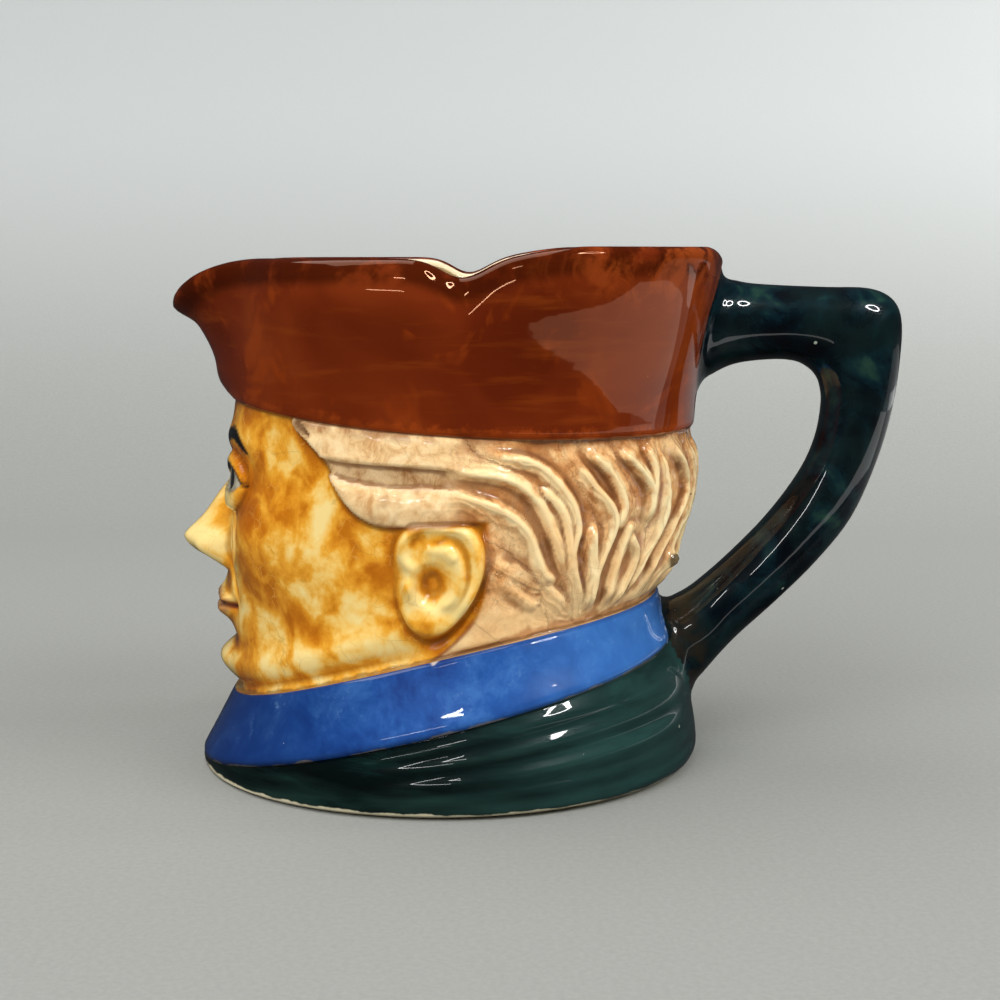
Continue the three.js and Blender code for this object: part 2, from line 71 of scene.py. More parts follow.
# Folds of the coat: place (fraction of its height), how far out, how tall, and the angles over which
# each one rises out of the smooth front.
COAT_FOLDS = [(0.86, 0.75, 0.08, 60, 104), (0.66, 1.1, 0.085, 70, 108), (0.45, 1.25, 0.09, 70, 108),
              (0.29, 0.8, 0.075, 76, 112), (0.08, 0.4, 0.05, 70, 108)]
COLLAR_REACH = [
    (0.0, 44.2, 41.8, 39.8), (0.05, 44.3, 42.0, 40.0), (0.5, 41.6, 39.7, 38.2), (0.93, 39.0, 37.9, 37.5),
    (1.0, 38.5, 37.5, 37.2),
]
# A low welt along the collar's lower edge, and a small chip in its top edge below the ear.
COLLAR_WELT = {"at": 0.12, "tall": 0.07, "out": 0.08}
COLLAR_CHIP = 88.0
HEAD_REACH = [
    (0.0, 37.2, 36.4, 36.8), (0.08, 37.4, 36.6, 38.8), (0.3, 37.9, 37.3, 40.4), (0.55, 38.2, 37.8, 42.7),
    (0.8, 38.4, 37.8, 43.3), (1.0, 37.2, 37.4, 43.0),
]
HAT_REACH = [
    (0.0, 38.0, 38.4, 43.4), (0.25, 37.7, 38.75, 43.95), (0.5, 37.2, 39.6, 45.0), (0.75, 36.8, 40.9, 46.6),
    (1.0, 36.5, 42.4, 48.0),
]
# Cavity below the hat: level (front, side, back), then reach (front, side, back).
CAVITY = [
    ((63.0, 60.0, 58.5), (33.8, 34.5, 39.9)), ((52.0, 52.0, 53.0), (32.9, 33.9, 39.5)),
    ((41.0, 43.0, 45.0), (33.0, 33.8, 38.6)), ((27.0, 33.0, 36.0), (33.0, 33.5, 35.9)),
    ((14.0, 24.0, 29.0), (33.6, 33.6, 34.4)), ((9.0, 16.0, 20.0), (35.6, 36.7, 36.8)),
    ((6.5, 9.5, 12.0), (34.6, 38.2, 39.4)), ((5.0, 5.6, 6.0), (31.5, 34.8, 36.5)),
    ((4.5, 4.5, 4.5), (27.0, 29.5, 31.0)),
]
CAVITY_NOSE = {"level": 41.0, "depth": 4.0, "width": 9.0, "height": 9.0}

SPOUT_WIDTH = 19.0
SPOUT_REACH = [(0.0, 0.4), (0.15, 2.4), (0.4, 3.7), (0.62, 5.6), (0.8, 7.8), (0.9, 10.5), (0.95, 11.6),
               (1.0, 11.8)]
SPOUT_LIP = {"drop": 6.6, "width": 13.5}
PINCH = {"angle": 95.0, "width": 7.0, "drop": 2.9, "inward": 2.4}
REAR_FLAP = {"angle": 124.0, "width": 20.0, "bulge": 1.9, "rise": 1.9}
CORNER = {"angle": 150.0, "width": 13.0, "bulge": 1.5}

# Face, on the usual thirds: brow, nose base and chin are a third of the face apart.
FACE_THIRD = 20.7
NOSE_BASE = 35.3
BROW = NOSE_BASE + FACE_THIRD
CHIN = NOSE_BASE - FACE_THIRD
EYE_LEVEL = BROW - 5.3
MOUTH = NOSE_BASE - FACE_THIRD / 3
EYE_OFFSET = 11.6
EYE_HALF_WIDTH = 5.9
NOSE_TIP = NOSE_BASE + 4.4
NOSE_ROOT = BROW - 2.4
NOSE_OUT = 7.6
# The face fades out round this angle; its places across are those on a circle of this radius.
FACE_EDGE = 75.0
FACE_RADIUS = 37.6

# Ear and hair: places are (angle, height).
EAR = {"angle": 88.5, "level": 38.2, "half_width": 8.4, "half_height": 9.8}
# Ridges of the ear: places in mm from its middle (backwards, up), height and half width.
EAR_RIDGES = [
    ([(-2.4, 0.9), (-4.9, 3.4), (-4.3, 7.4), (0.2, 8.9), (4.7, 7.2), (6.3, 2.6), (5.6, -2.4), (3.2, -6.2)],
     1.0, 1.0),
    ([(0.8, 6.2), (3.0, 3.6), (3.6, 0.2), (2.6, -2.9), (0.3, -4.5)], 0.8, 1.05),
    ([(-1.6, 5.2), (1.2, 4.3), (3.0, 3.0)], 0.45, 0.9),
]
# The flap in front of its opening, and the lobe, as `bumps` takes them.
EAR_BUMPS = [(1.3, -4.4, 1.3, -1.2, 1.9), (0.6, -0.4, 2.6, -7.2, 2.2)]
HAIR_EDGE = [(50.0, 63.6), (53.0, 61.2), (58.0, 58.6), (62.5, 55.6), (66.0, 51.2), (70.0, 48.2),
             (76.0, 46.5), (86.0, 46.6), (98.0, 47.2)]
# The roll over the ear ends above at its own line, and the band under the hat starts at a crest.
ROLL_TOP = [(60.0, 56.2), (64.5, 53.9), (71.0, 52.9), (80.0, 52.3), (88.0, 52.4), (96.0, 51.2), (104.0, 48.8)]
BAND_CREST = [(60.0, 57.0), (71.0, 56.4), (80.0, 56.1), (89.0, 55.7), (96.5, 55.1), (104.0, 53.6)]
HAIR_THICKNESS = 0.9
LOCKS = [
    [(86, 52.4), (94, 51.6), (103, 49.3), (109, 45.5), (113.6, 38.9), (117.5, 36.8)],
    [(86, 55.8), (94, 55.3), (104, 54.0), (110.7, 50.4), (115.7, 43.7), (120, 36.6)],
    [(98.9, 58.3), (110.7, 56.4), (118, 51.3), (121.4, 46), (121, 40.3), (126, 31.6)],
    [(111, 53), (117, 48.2), (119.4, 42), (121.2, 37)],
    [(119, 57.8), (125, 52.3), (130.7, 48), (131.5, 44.5), (128.8, 37.7), (128.3, 31.4)],
    [(123.5, 57.8), (129.2, 54.2), (133.4, 49), (132, 44.3)],
    [(125.4, 45.8), (127.2, 39.4), (128.3, 31.4)],
    [(132.4, 57.6), (138.7, 53.9), (142.8, 50.4), (143, 45)],
    [(136.4, 46), (134.7, 40.7), (132.8, 31.6)],
    [(137, 43.9), (141.3, 39), (135.9, 31.2)],
    [(140.8, 58), (143.7, 53), (143, 45.6)],
    [(146, 57.4), (149.8, 50), (148.5, 42.4), (138.6, 32)],
    [(152, 57.9), (161.5, 50.5), (157.3, 44), (147, 33)],
    [(165, 57.7), (169, 50), (164, 42), (155, 32.5)],
    [(173, 57.7), (176, 48), (173, 40), (165, 32.5)],
    [(180, 57.5), (180, 46), (175, 33)],
]
FAINT_LOCKS = [
    [(101.6, 41), (109.7, 37.5), (114.2, 36)],
    [(102, 38.2), (109, 34.4), (113, 32.6)],
    [(105, 40.2), (114, 36.9), (121, 32.4)],
]
# Each crest is steep on one side (+1 or -1) and slopes gently on the other.
LOCK_STEEP_SIDE = [1, -1, 1, -1, 1, -1, 1, -1, -1, 1, -1, 1, -1, 1, -1, 1, 1, -1, 1]
LOCK_RELIEF = 1.5
LOCK_FLANK = {"steep": 1.4, "gentle": 4.2}
# A crumb of clay stuck to the back of the hair, and a nick where the band under the hat starts.
CRUMB = {"angle": 160.0, "level": 36.8, "size": 1.2, "out": 1.6}
NICK = [(51.8, 63.0), (54.0, 61.9), (57.5, 60.3)]
MM_PER_DEGREE = 0.68

# Handle: matched stations on its outer and inner outline (Y, Z), with the flare of its width.
HANDLE_WIDTH = 13.0
HANDLE_SQUARENESS = 2.2
HANDLE = [
    ((46.2, 87.0), (42.3, 65.0), 3.4), ((48.6, 85.4), (46.6, 68.2), 2.0), ((52.4, 84.3), (51.0, 70.1), 0.6),
    ((59.0, 83.8), (57.2, 70.8), 0), ((67.0, 83.5), (61.2, 70.5), 0), ((74.0, 83.3), (63.7, 69.3), 0),
    ((78.1, 81.5), (65.2, 67.7), 0), ((79.8, 78.0), (65.9, 65.8), 0), ((79.8, 71.5), (66.2, 63.0), 0),
    ((78.7, 62.5), (65.5, 57.8), 0), ((76.2, 53.0), (63.6, 52.6), 0), ((71.9, 42.8), (60.4, 47.4), 0),
    ((65.8, 34.8), (56.0, 41.8), 0), ((58.7, 27.6), (50.4, 36.0), 0.3), ((51.4, 20.9), (45.6, 31.6), 1.0),
    ((46.6, 15.6), (42.0, 28.9), 2.2), ((41.8, 9.6), (36.6, 26.6), 3.2),
]

# Where the handle meets the wall: how far the smoothed corner reaches, up to where it is smoothed in
# full (mm), how many times and by how much each time.
SEAM = {"reach": 3.2, "full": 0.96, "steps": 24, "pull": 0.6}

# Underside: how far inside the coat's foot each ring lies and its height, then the bare clay edge
# and the share of the coat's height at which its rows start.
FOOT_RINGS = [(20.0, 0.9), (7.0, 0.9), (5.2, 0.8), (4.4, 0.0), (0.6, 0.0)]
FOOT_EDGE = 0.8
COAT_START = 0.05

# Mesh density.
HEAD_COLUMNS = [(50, 80), (76, 40), (104, 56), (180, 132)]
HEAD_ROWS = 106
HAT_ROWS = 30
COLLAR_ROWS = 13
COAT_ROWS = 27
LIP_STEPS = 9
CAVITY_ROWS = 26
# Rows inside the hat, as shares of its height.
HAT_INSIDE = [0.97, 0.9, 0.8, 0.65, 0.5, 0.35, 0.2]
HANDLE_SIDES = 44
HANDLE_STEPS = 5

# Smoothing steps that tell hollows and crests apart, at two sizes.
FINE_STEPS = 5
WIDE_STEPS = 36

# Material slots of the mesh.
HAT, CAVITY_GLAZE, HEAD, COLLAR, COAT, FOOT, HANDLE_GLAZE = range(7)


# ---- helpers ----
def smooth(start, end, x):
    t = np.clip((x - start) / (end - start), 0.0, 1.0)
    return t * t * (3.0 - 2.0 * t)


def bell(x, width):
    return np.exp(-((x / width) ** 2))


def mix(a, b, t):
    return a + (b - a) * t


def along(table, column, t):
    """Value of a table's column at t, on a smooth curve through its rows."""
    rows = np.array(table, float)
    at, value = rows[:, 0], rows[:, column]
    t = np.clip(t, at[0], at[-1])
    i = np.clip(np.searchsorted(at, t, side="right") - 1, 0, len(at) - 2)
    before = np.maximum(i - 1, 0)
    after = np.minimum(i + 2, len(at) - 1)
    span = at[i + 1] - at[i]
    u = (t - at[i]) / span
    slope_a = (value[i + 1] - value[before]) / (at[i + 1] - at[before]) * span
    slope_b = (value[after] - value[i]) / (at[after] - at[i]) * span
    u2, u3 = u * u, u * u * u
    return ((2 * u3 - 3 * u2 + 1) * value[i] + (u3 - 2 * u2 + u) * slope_a
            + (3 * u2 - 2 * u3) * value[i + 1] + (u3 - u2) * slope_b)


def reach_at(table, t):
    return [along(table, column, t) for column in (1, 2, 3)]


def level_at(level, angle):
    front, side, back = level
    c = np.cos(np.radians(angle))
    middle = (front + back) / 2
    return middle + (front - back) / 2 * c + (side - middle) * (1 - c * c)


def wall(reach, angle, out, z):
    """Points of a wall with the given reach, moved outward by `out`, at the heights z."""
    front, side, back = reach
    c, s = np.cos(np.radians(angle)), np.sin(np.radians(angle))
    mean, skew = (front + back) / 2, (front - back) / 2
    x, y = side * s, -(mean * c + skew * c * c)
    dx, dy = side * c, mean * s + 2 * skew * c * s
    length = np.hypot(dx, dy)
    return np.stack(np.broadcast_arrays(x + out * dy / length, y - out * dx / length, z), -1)


def from_front(angle):
    return np.where(angle > 180, 360 - angle, angle)


def uneven(points, scale, seed):
    """Smooth noise in -1..1 at each point, with the given size in millimetres."""
    shift = Vector((seed * 17.3, seed * 5.1, seed * 9.7))
    flat = points.reshape(-1, 3) / scale
    values = [noise.noise(Vector(p) + shift) for p in flat]
    return np.array(values).reshape(points.shape[:-1])


# ---- coat and collar ----
def coat_folds(angle, t):
    """Soft folds that run round the coat below the collar and spread apart towards the back."""
    a = from_front(angle)
    total = 0.0
    for at, out, tall, starts, full in COAT_FOLDS:
        wander = 0.02 * np.sin(np.radians(a * 2.3 + 200 * at)) + 0.0012 * (a - 105) * (0.5 - at)
        total = total + out * bell(t - at - wander, tall) * smooth(starts, full, a) * smooth(172, 135, a)
    return total - 0.3 * smooth(40, 95, a) * bell(t - 0.55, 0.4)


def coat(angle, t):
    top = level_at(COLLAR_BOTTOM, angle)
    return wall(reach_at(COAT_REACH, t), angle, coat_folds(angle, t), top * t), {}


def collar(angle, t):
    bottom, top = level_at(COLLAR_BOTTOM, angle), level_at(COLLAR_TOP, angle)
    welt = COLLAR_WELT["out"] * bell(t - COLLAR_WELT["at"], COLLAR_WELT["tall"])
    points = wall(reach_at(COLLAR_REACH, t), angle, welt, mix(bottom, top, t))
    a = np.broadcast_to(from_front(angle), points.shape[:-1])
    from_top = (top - bottom) * (1 - t)
    chip = bell((a - COLLAR_CHIP) * MM_PER_DEGREE, 0.8) * bell(from_top, 0.5) * (angle < 180)
    return points, {"from_collar_edge": (top - bottom) * t, "from_collar_top": from_top,
                    "hair": (a > 87) * 1.0, "combed": (a > 87) * 1.0, "chip": chip}


# ---- face ----
def bumps(table, x, z):
    """Soft bumps and dents: height, then place and half width across, then level and half height."""
    return sum(height * bell(x - at, wide) * bell(z - level, tall) for height, at, wide, level, tall in table)


# The same on both sides of the face.
FACE_BUMPS = [
    (1.4, 0, 4.2, NOSE_TIP - 0.4, 3.0),  # tip of the nose
    (2.8, 5.2, 2.3, NOSE_TIP - 1.6, 2.8),  # its wings
    (-0.5, 8.0, 0.9, NOSE_TIP - 1.0, 2.6),  # crease round the wings
    (-1.6, 3.0, 1.2, NOSE_BASE + 0.4, 0.9),  # nostrils
    (-1.2, 0, 4, BROW - 4.5, 3),  # root of the nose
    (-3.0, EYE_OFFSET, 8.0, EYE_LEVEL + 0.6, 5.4),  # eye sockets
    (1.7, 19.5, 8.5, 41.5, 7.5),  # cheeks
    (-0.9, 24, 8, 28, 7),  # hollows below the cheeks
    (-0.9, 28, 6, 55, 7),  # temples
    (2.8, 0, 8.6, CHIN + 3.4, 3.6),  # chin
    (1.8, 0, 12.5, MOUTH, 8),  # muzzle
    (-0.45, 0, 1.1, MOUTH + 4.4, 1.9),  # groove above the lips
    (0.3, 2.1, 0.8, MOUTH + 4.2, 1.9),  # its sides
    (-0.6, 11.2, 1.3, MOUTH, 1.3),  # corners of the mouth
    (-1.5, 0, 8.5, MOUTH - 6.4, 2.0),  # dent below the lips
]


def nose_ridge(x, z):
    above = (z - NOSE_TIP) / (NOSE_ROOT - NOSE_TIP)
    below = (NOSE_TIP - z) / (NOSE_TIP - NOSE_BASE + 1)
    bridge = np.clip(1 - above, 0, 1) ** 1.2
    under = np.clip(1 - below**2, 0, 1) ** 0.7
    width = mix(5.0, 3.0, np.clip(above, 0, 1))
    return NOSE_OUT * np.where(above > 0, bridge, under) * bell(x, width)


def eye_opening(x, z):
    """How far inside the lids' opening a place is, in millimetres, and its place in the eye."""
    dx = (np.abs(x) - EYE_OFFSET) / EYE_HALF_WIDTH
    arch = np.clip(1 - dx**2, 0, 1) ** 0.75
    top = EYE_LEVEL + 0.15 + 2.5 * arch
    bottom = EYE_LEVEL - 0.15 - 1.7 * arch
    return np.minimum(top - z, z - bottom), dx, top, bottom


def eye_relief(x, z):
    """Eyeball, lids and the crease over the upper lid."""
    dx = np.abs(x) - EYE_OFFSET
    dz = z - EYE_LEVEL
    ball = 3.0 * np.sqrt(np.clip(1 - (dx / 6.8) ** 2 - (dz / 5.2) ** 2, 0, 1))
    inside, _, top, _ = eye_opening(x, z)
    lids = 0.6 * smooth(0.25, -0.25, inside) * smooth(1.35, 0.9, np.hypot(dx / 6.6, dz / 5.2))
    return ball + lids - 0.5 * bell(z - (top + 2.0), 0.55) * smooth(7.0, 5.0, np.abs(dx))


def mouth_line(x):
    return MOUTH + 0.35 * bell(np.abs(x) - 2.6, 2.0) - 0.25 * bell(x, 1.6)


def lip_relief(side, z):
    line = mouth_line(side)
    bow = 2.2 - 0.8 * bell(side, 1.2) - 1.5 * (side / 10.0) ** 2
    upper = 1.5 * bell(z - (line + 0.55 * bow), 0.62 * bow.clip(0.6) + 0.2) * smooth(10.6, 7.5, side)
    fullness = 3.0 - 2.0 * (side / 9.5) ** 2
    lower = 1.8 * bell(z - (line - 0.6 * fullness), 0.62 * fullness.clip(0.6)) * smooth(10.2, 6.5, side)
    return upper + lower - 1.3 * bell(z - line, 0.42) * smooth(11.4, 9.6, side)


def face_relief(x, z):
    side = np.abs(x)
    brow_arch = BROW + 1.0 + 0.9 * bell(side - 12.0, 6.0)
    brows = 1.4 * bell(side - 10.5, 9.5) * bell(z - brow_arch, 3.0)
    fold_x = 8.4 + 0.55 * (NOSE_TIP - 1.5 - z)
    fold = -0.55 * bell(side - fold_x, 1.1) * smooth(MOUTH - 1, MOUTH + 4, z) * smooth(40, 36, z)
    return bumps(FACE_BUMPS, side, z) + brows + fold + nose_ridge(x, z) + eye_relief(x, z) + lip_relief(side, z)


def stroke(x, z, places, thickness):
    """1 inside a painted stroke that runs through `places` (x, z) and tapers at both ends."""
    distance, share, _ = distance_to_line(curve_through(places, 8), x, z)
    half = 0.5 * thickness * np.clip(4 * share * (1 - share), 0, 1) ** 0.6
    return smooth(0.22, -0.22, distance - half)


def face_paint(x, z):
    """Masks of the black strokes, eye whites, irises, lips and the line between the lips."""
    side = np.abs(x)
    brow = stroke(side, z, [(5.2, BROW - 0.2), (9.0, BROW + 2.2), (14.0, BROW + 2.9), (19.5, BROW - 0.2)], 2.5)
    inside, dx, top, bottom = eye_opening(x, z)
    lash_low = [(5.8, EYE_LEVEL), (8.6, EYE_LEVEL + 2.2), (11.6, EYE_LEVEL + 2.9),
                (15.0, EYE_LEVEL + 2.0), (18.9, EYE_LEVEL - 0.6)]
    lash = stroke(side, z, lash_low, 1.35)
    lower = 0.6 * bell(z - bottom, 0.24) * smooth(1.02, 0.8, np.abs(dx))
    iris = smooth(2.15, 1.85, np.hypot(side - EYE_OFFSET, z - (EYE_LEVEL + 0.5)))
    nostril = 0.7 * bell(side - 3.0, 1.0) * bell(z - (NOSE_BASE + 0.4), 0.7)
    ink = np.maximum.reduce([brow, lash, lower, nostril])
    white = smooth(-0.15, 0.2, inside) * (np.abs(dx) < 1)
    line = mouth_line(x)
    lip_top = line + 2.3 - 0.8 * bell(side, 1.2) - 2.0 * (side / 11.0) ** 2
    lip_bottom = line - 3.4 + 3.2 * (side / 10.6) ** 2
    lips = smooth(-0.3, 0.4, np.minimum(lip_top - z, z - lip_bottom)) * smooth(11.0, 10.0, side)
    parting = bell(z - line, 0.34) * smooth(11.2, 9.8, side)
    return ink, white, iris * white, lips, parting


# ---- ear ----
def ear_relief(a, z):
    back, up = (a - EAR["angle"]) * MM_PER_DEGREE, z - EAR["level"]
    v, u = up / EAR["half_height"], back / EAR["half_width"]
    wide = (u - 0.12 * v) / (0.86 + 0.2 * v)
    r = np.hypot(wide, v)
    front_open = smooth(-0.95, -0.35, wide + 0.3 * np.abs(v))
    relief = 1.9 * smooth(1.06, 0.9, r) * front_open
    for places, height, half_width in EAR_RIDGES:
        distance, share, _ = distance_to_line(curve_through(places, 6), back, up)
        ends = smooth(-0.02, 0.12, share) * smooth(1.02, 0.85, share)
        relief = relief + height * bell(distance, half_width) * ends
    relief = relief - 2.1 * smooth(1.05, 0.25, np.hypot((back + 0.5) / 3.4, (up + 0.9) / 4.2))
    return relief + bumps(EAR_BUMPS, back, up) - 0.7 * bell(r - 1.1, 0.07) * smooth(-0.5, 0.1, wide)


# ---- hair ----
def curve_through(places, steps):
    """A smooth line through a few places."""
    p = np.array(places, float)
    ends = np.vstack([2 * p[0] - p[1], p, 2 * p[-1] - p[-2]])
    line = []
    for i in range(len(p) - 1):
        a, b, c, d = ends[i : i + 4]
        for t in np.arange(steps) / steps:
            line.append(0.5 * (2 * b + (c - a) * t + (2 * a - 5 * b + 4 * c - d) * t**2
                               + (3 * b - a - 3 * c + d) * t**3))
    return np.array(line + [p[-1]])


def distance_to_line(line, x, z):
    """Distance to a line of short segments, how far along it the nearest place is, and its side."""
    best = np.full(np.broadcast(x, z).shape, np.inf)
    share = np.zeros_like(best)
    side = np.ones_like(best)
    count = len(line) - 1
    for i in range(count):
        (ax, az), (bx, bz) = line[i], line[i + 1]
        dx, dz = bx - ax, bz - az
        t = np.clip(((x - ax) * dx + (z - az) * dz) / (dx * dx + dz * dz), 0, 1)
        d = np.hypot(x - ax - t * dx, z - az - t * dz)
        nearer = d < best
        share = np.where(nearer, (i + t) / count, share)
        side = np.where(nearer, np.sign(dx * (z - az) - dz * (x - ax)), side)
        best = np.minimum(best, d)
    return best, share, side


def hair_edge(a):
    return along(HAIR_EDGE, 1, a)


def behind_ear(a, z):
    """Degrees behind the line where the hair starts at the back of the ear and below it."""
    return a + 0.12 * np.clip(36 - z, 0, 20) ** 1.9 - 99.8


def hair_cover(a, z):
    above = smooth(-0.22, 0.22, z - hair_edge(a)) * smooth(49.5, 51.0, a)
    return np.maximum(above, smooth(-0.6, 0.6, behind_ear(a, z)))


def lock_crests(a, z):
    """Height of the locks (0 to 1), a dark line at the foot of their steep sides (wash pooled there,
    with painted shade), and how far across from its nearest crest each place is: positive on the
    gentle side and negative on the steep side.
    """
    height = np.zeros(np.broadcast(a, z).shape)
    foot = np.zeros_like(height)
    nearest = np.full_like(height, 9.0)
    across = np.full_like(height, 9.0)
    strengths = [1.0] * len(LOCKS) + [0.42] * len(FAINT_LOCKS)
    for places, strength, steep in zip(LOCKS + FAINT_LOCKS, strengths, LOCK_STEEP_SIDE):
        flat = [(angle * MM_PER_DEGREE, level) for angle, level in places]
        distance, share, side = distance_to_line(curve_through(flat, 6), a * MM_PER_DEGREE, z)
        ends = strength * smooth(-0.05, 0.14, share) * smooth(1.05, 0.85, share)
        flank = np.where(side * steep > 0, LOCK_FLANK["steep"], LOCK_FLANK["gentle"])
        height = np.maximum(height, ends * np.clip(1 - (np.hypot(distance, 0.35) - 0.35) / flank, 0, 1) ** 2)
        foot = np.maximum(foot, ends * bell(distance - 1.0, 0.5) * (side * steep > 0))
        reach = distance + 2.5 * (1 - ends)
        across = np.where(reach < nearest, -side * steep * distance, across)
        nearest = np.minimum(nearest, reach)
    return height, foot * smooth(0.8, 0.45, height), across


def front_lock(a, z):
    """The lock over the ear: a round roll below, a shallow hollow, and a band under the hat."""
    edge, roll_top, crest = hair_edge(a), along(ROLL_TOP, 1, a), along(BAND_CREST, 1, a)
    middle, half = (edge + roll_top) / 2, (roll_top - edge) / 2 + 0.4
    roll = 1.35 * np.sqrt(np.clip(1 - ((z - middle) / half) ** 2, 0, 1)) * smooth(59, 64, a)
    above = np.where(a < 60, z - edge, z - crest)
    band = smooth(-0.2, 0.35, above) * (0.95 - 0.055 * np.clip(above, 0, 9))
    # Mask of the hollow between roll and band, which the colour greys with painted shade.
    hollow = smooth(0.3, -0.3, above) * smooth(-0.3, 0.6, z - roll_top)
    return np.maximum(roll, band) + 0.15, hollow


def hair_relief(a, z, height):
    combed = smooth(88, 97, a)
    locks = (LOCK_RELIEF * height - 0.35) * combed
    roll, _ = front_lock(a, z)
    return HAIR_THICKNESS * smooth(112, 100, a) * combed + locks + roll * (1 - combed)


# ---- head ----
def jaw_level(a):
    return level_at((CHIN + 1.0, 29.0, 36.0), a)


def skin_relief(a, x, z, cover):
    """Face, jaw and ear, fading out under the hair."""
    face = face_relief(x, z) * smooth(FACE_EDGE + 8, FACE_EDGE - 10, a)
    jaw = 0.8 * bell(z - jaw_level(a) - 1.5, 2.6) - 0.7 * smooth(0.0, -2.5, z - jaw_level(a))
    ear = ear_relief(a, z) * (1 - smooth(46.4, 47.2, z))
    return (face + jaw * smooth(92, 70, a)) * (1 - cover) + ear * (1 - 0.75 * cover)


def head(angle, t):
    neck, hem = level_at(COLLAR_TOP, angle), level_at(HAT_HEM, angle)
    z = mix(neck, hem, t)
    a = np.broadcast_to(from_front(angle), z.shape)
    x = FACE_RADIUS * np.sin(np.radians(a))
    reach = reach_at(HEAD_REACH, t)
    cover = hair_cover(a, z)
    height, foot, across = lock_crests(a, z)
    crumb = bell((a - CRUMB["angle"]) * MM_PER_DEGREE, CRUMB["size"]) * bell(z - CRUMB["level"], CRUMB["size"])
    crumb = crumb * (angle < 180)
    nick = stroke(a * MM_PER_DEGREE, z, [(place * MM_PER_DEGREE, level) for place, level in NICK], 1.3)
    flat = wall(reach, angle, 0.0, z)
    hand = 0.16 * uneven(flat, 5.0, 1) + cover * 0.12 * uneven(flat, 1.7, 2)
    hair = cover * (hair_relief(a, z, height) - 0.5 * nick)
    relief = skin_relief(a, x, z, cover) + hair + CRUMB["out"] * (1 - (1 - crumb) ** 2) + hand
    relief = relief * (smooth(0, 0.035, t) * smooth(1.02, 0.975, t))
    points = wall(reach, angle, relief, z)
    combed = smooth(87, 97, a)
    masks = {
        "above_collar": z - neck,
        "under_hem": hem - z,
        "hair": cover,
        "crest": height * combed,
        "strand": across,
        "lock_foot": foot,
        "combed": combed,
        "band_hollow": front_lock(a, z)[1] * (1 - combed),
        "crumb": crumb,
        "nick": nick,
        "neck_line": bell(behind_ear(a, z) * MM_PER_DEGREE, 0.45) * smooth(33, 30, z),
        "hair_line": bell(z - hair_edge(a), 0.45) * smooth(50, 54, a) * smooth(101, 97, a),
    }
    ink, white, iris, lips, parting = face_paint(np.where(a < 80, x, 99.0), z)
    for name, paint in (("white", white), ("iris", iris), ("lips", lips), ("parting", parting)):
        masks[name] = paint * (a < 60)
    return points, {**masks, "ink": ink}


# ---- hat and rim ----
def spout_out(a, t):
    return along(SPOUT_REACH, 1, t) * np.exp(-((a / SPOUT_WIDTH) ** mix(2.0, 2.6, t)))


def rim_top(angle):
    a = from_front(angle)
    lip = -SPOUT_LIP["drop"] * bell(a, SPOUT_LIP["width"])
    pinch = -PINCH["drop"] * bell(a - PINCH["angle"], PINCH["width"])
    rear = REAR_FLAP["rise"] * smooth(98, 122, a) - 1.4 * smooth(155, 180, a)
    return RIM_HEIGHT + lip + pinch + rear


def rim_lean(angle):
    """Slope at which the outside of the wall meets the rim; it leans inward round the pinch."""
    a = from_front(angle)
    return RIM_SHOULDER["lean"] * bell(a - RIM_SHOULDER["angle"], RIM_SHOULDER["width"]) * smooth(148, 118, a)


def rim_roll(angle, share):
    """Path over the rim from outside to inside: how far inward and how high above its start."""
    start = np.arctan(rim_lean(angle))
    radius = LIP_THICKNESS / (1 + np.cos(start))
    turn = mix(start, np.pi, share)
    return radius * (np.cos(start) - np.cos(turn)), radius * (np.sin(turn) - np.sin(start))


def hat_out(angle, t):
    a = from_front(angle)
    pinch = -PINCH["inward"] * bell(a - PINCH["angle"], PINCH["width"] + 1) * smooth(0.2, 1, t)
    flap = REAR_FLAP["bulge"] * bell(a - REAR_FLAP["angle"], REAR_FLAP["width"]) * smooth(0.1, 1, t)
    corner = CORNER["bulge"] * bell(a - CORNER["angle"], CORNER["width"]) * smooth(0, 0.6, t)
    return spout_out(a, t) + pinch + flap + corner


def hat(angle, t, inward=0.0, rise=0.0):
    start = np.arctan(rim_lean(angle))
    hem = level_at(HAT_HEM, angle)
    top = rim_top(angle) - LIP_THICKNESS * (1 - np.sin(start)) / (1 + np.cos(start))
    z = mix(hem, top, t) + rise
    below_rim = (top - hem) * (1 - t)
    near = np.clip(1 - below_rim / RIM_SHOULDER["height"], 0, 1)
    shoulder = -0.5 * rim_lean(angle) * RIM_SHOULDER["height"] * near**2
    edge = -0.35 * bell(z - hem, 0.45)
    points = wall(reach_at(HAT_REACH, t), angle, hat_out(angle, t) + shoulder + edge - inward, z)
    a = np.broadcast_to(from_front(angle), z.shape)
    return points, {"above_hem": z - hem, "below_rim": below_rim - np.broadcast_to(rise, z.shape),
                    "hair": (a > 50) * 1.0, "combed": smooth(87, 97, a)}


# ---- cavity ----
def cavity(angle, share):
    """Cavity wall at a share (0 at the hem, 1 at the floor's edge) of its rows."""
    at = np.linspace(0, 1, len(CAVITY))
    level, reach = [reach_at([(s, *row[part]) for s, row in zip(at, CAVITY)], share) for part in (0, 1)]
    z = level_at(level, angle)
    a = from_front(angle)
    x = reach[1] * np.sin(np.radians(a))
    n = CAVITY_NOSE
    nose = n["depth"] * bell(x, n["width"]) * bell(z - n["level"], n["height"]) * (a < 60)
    return wall(reach, angle, nose, z), {}


# ---- mesh of the shell ----
def column_angles(columns):
    half = []
    start = 0.0
    for end, count in columns:
        half.extend(start + (end - start) * np.arange(count) / count)
        start = end
    half = np.array(half)
    return np.concatenate([half, [180.0], 360.0 - half[:0:-1]])


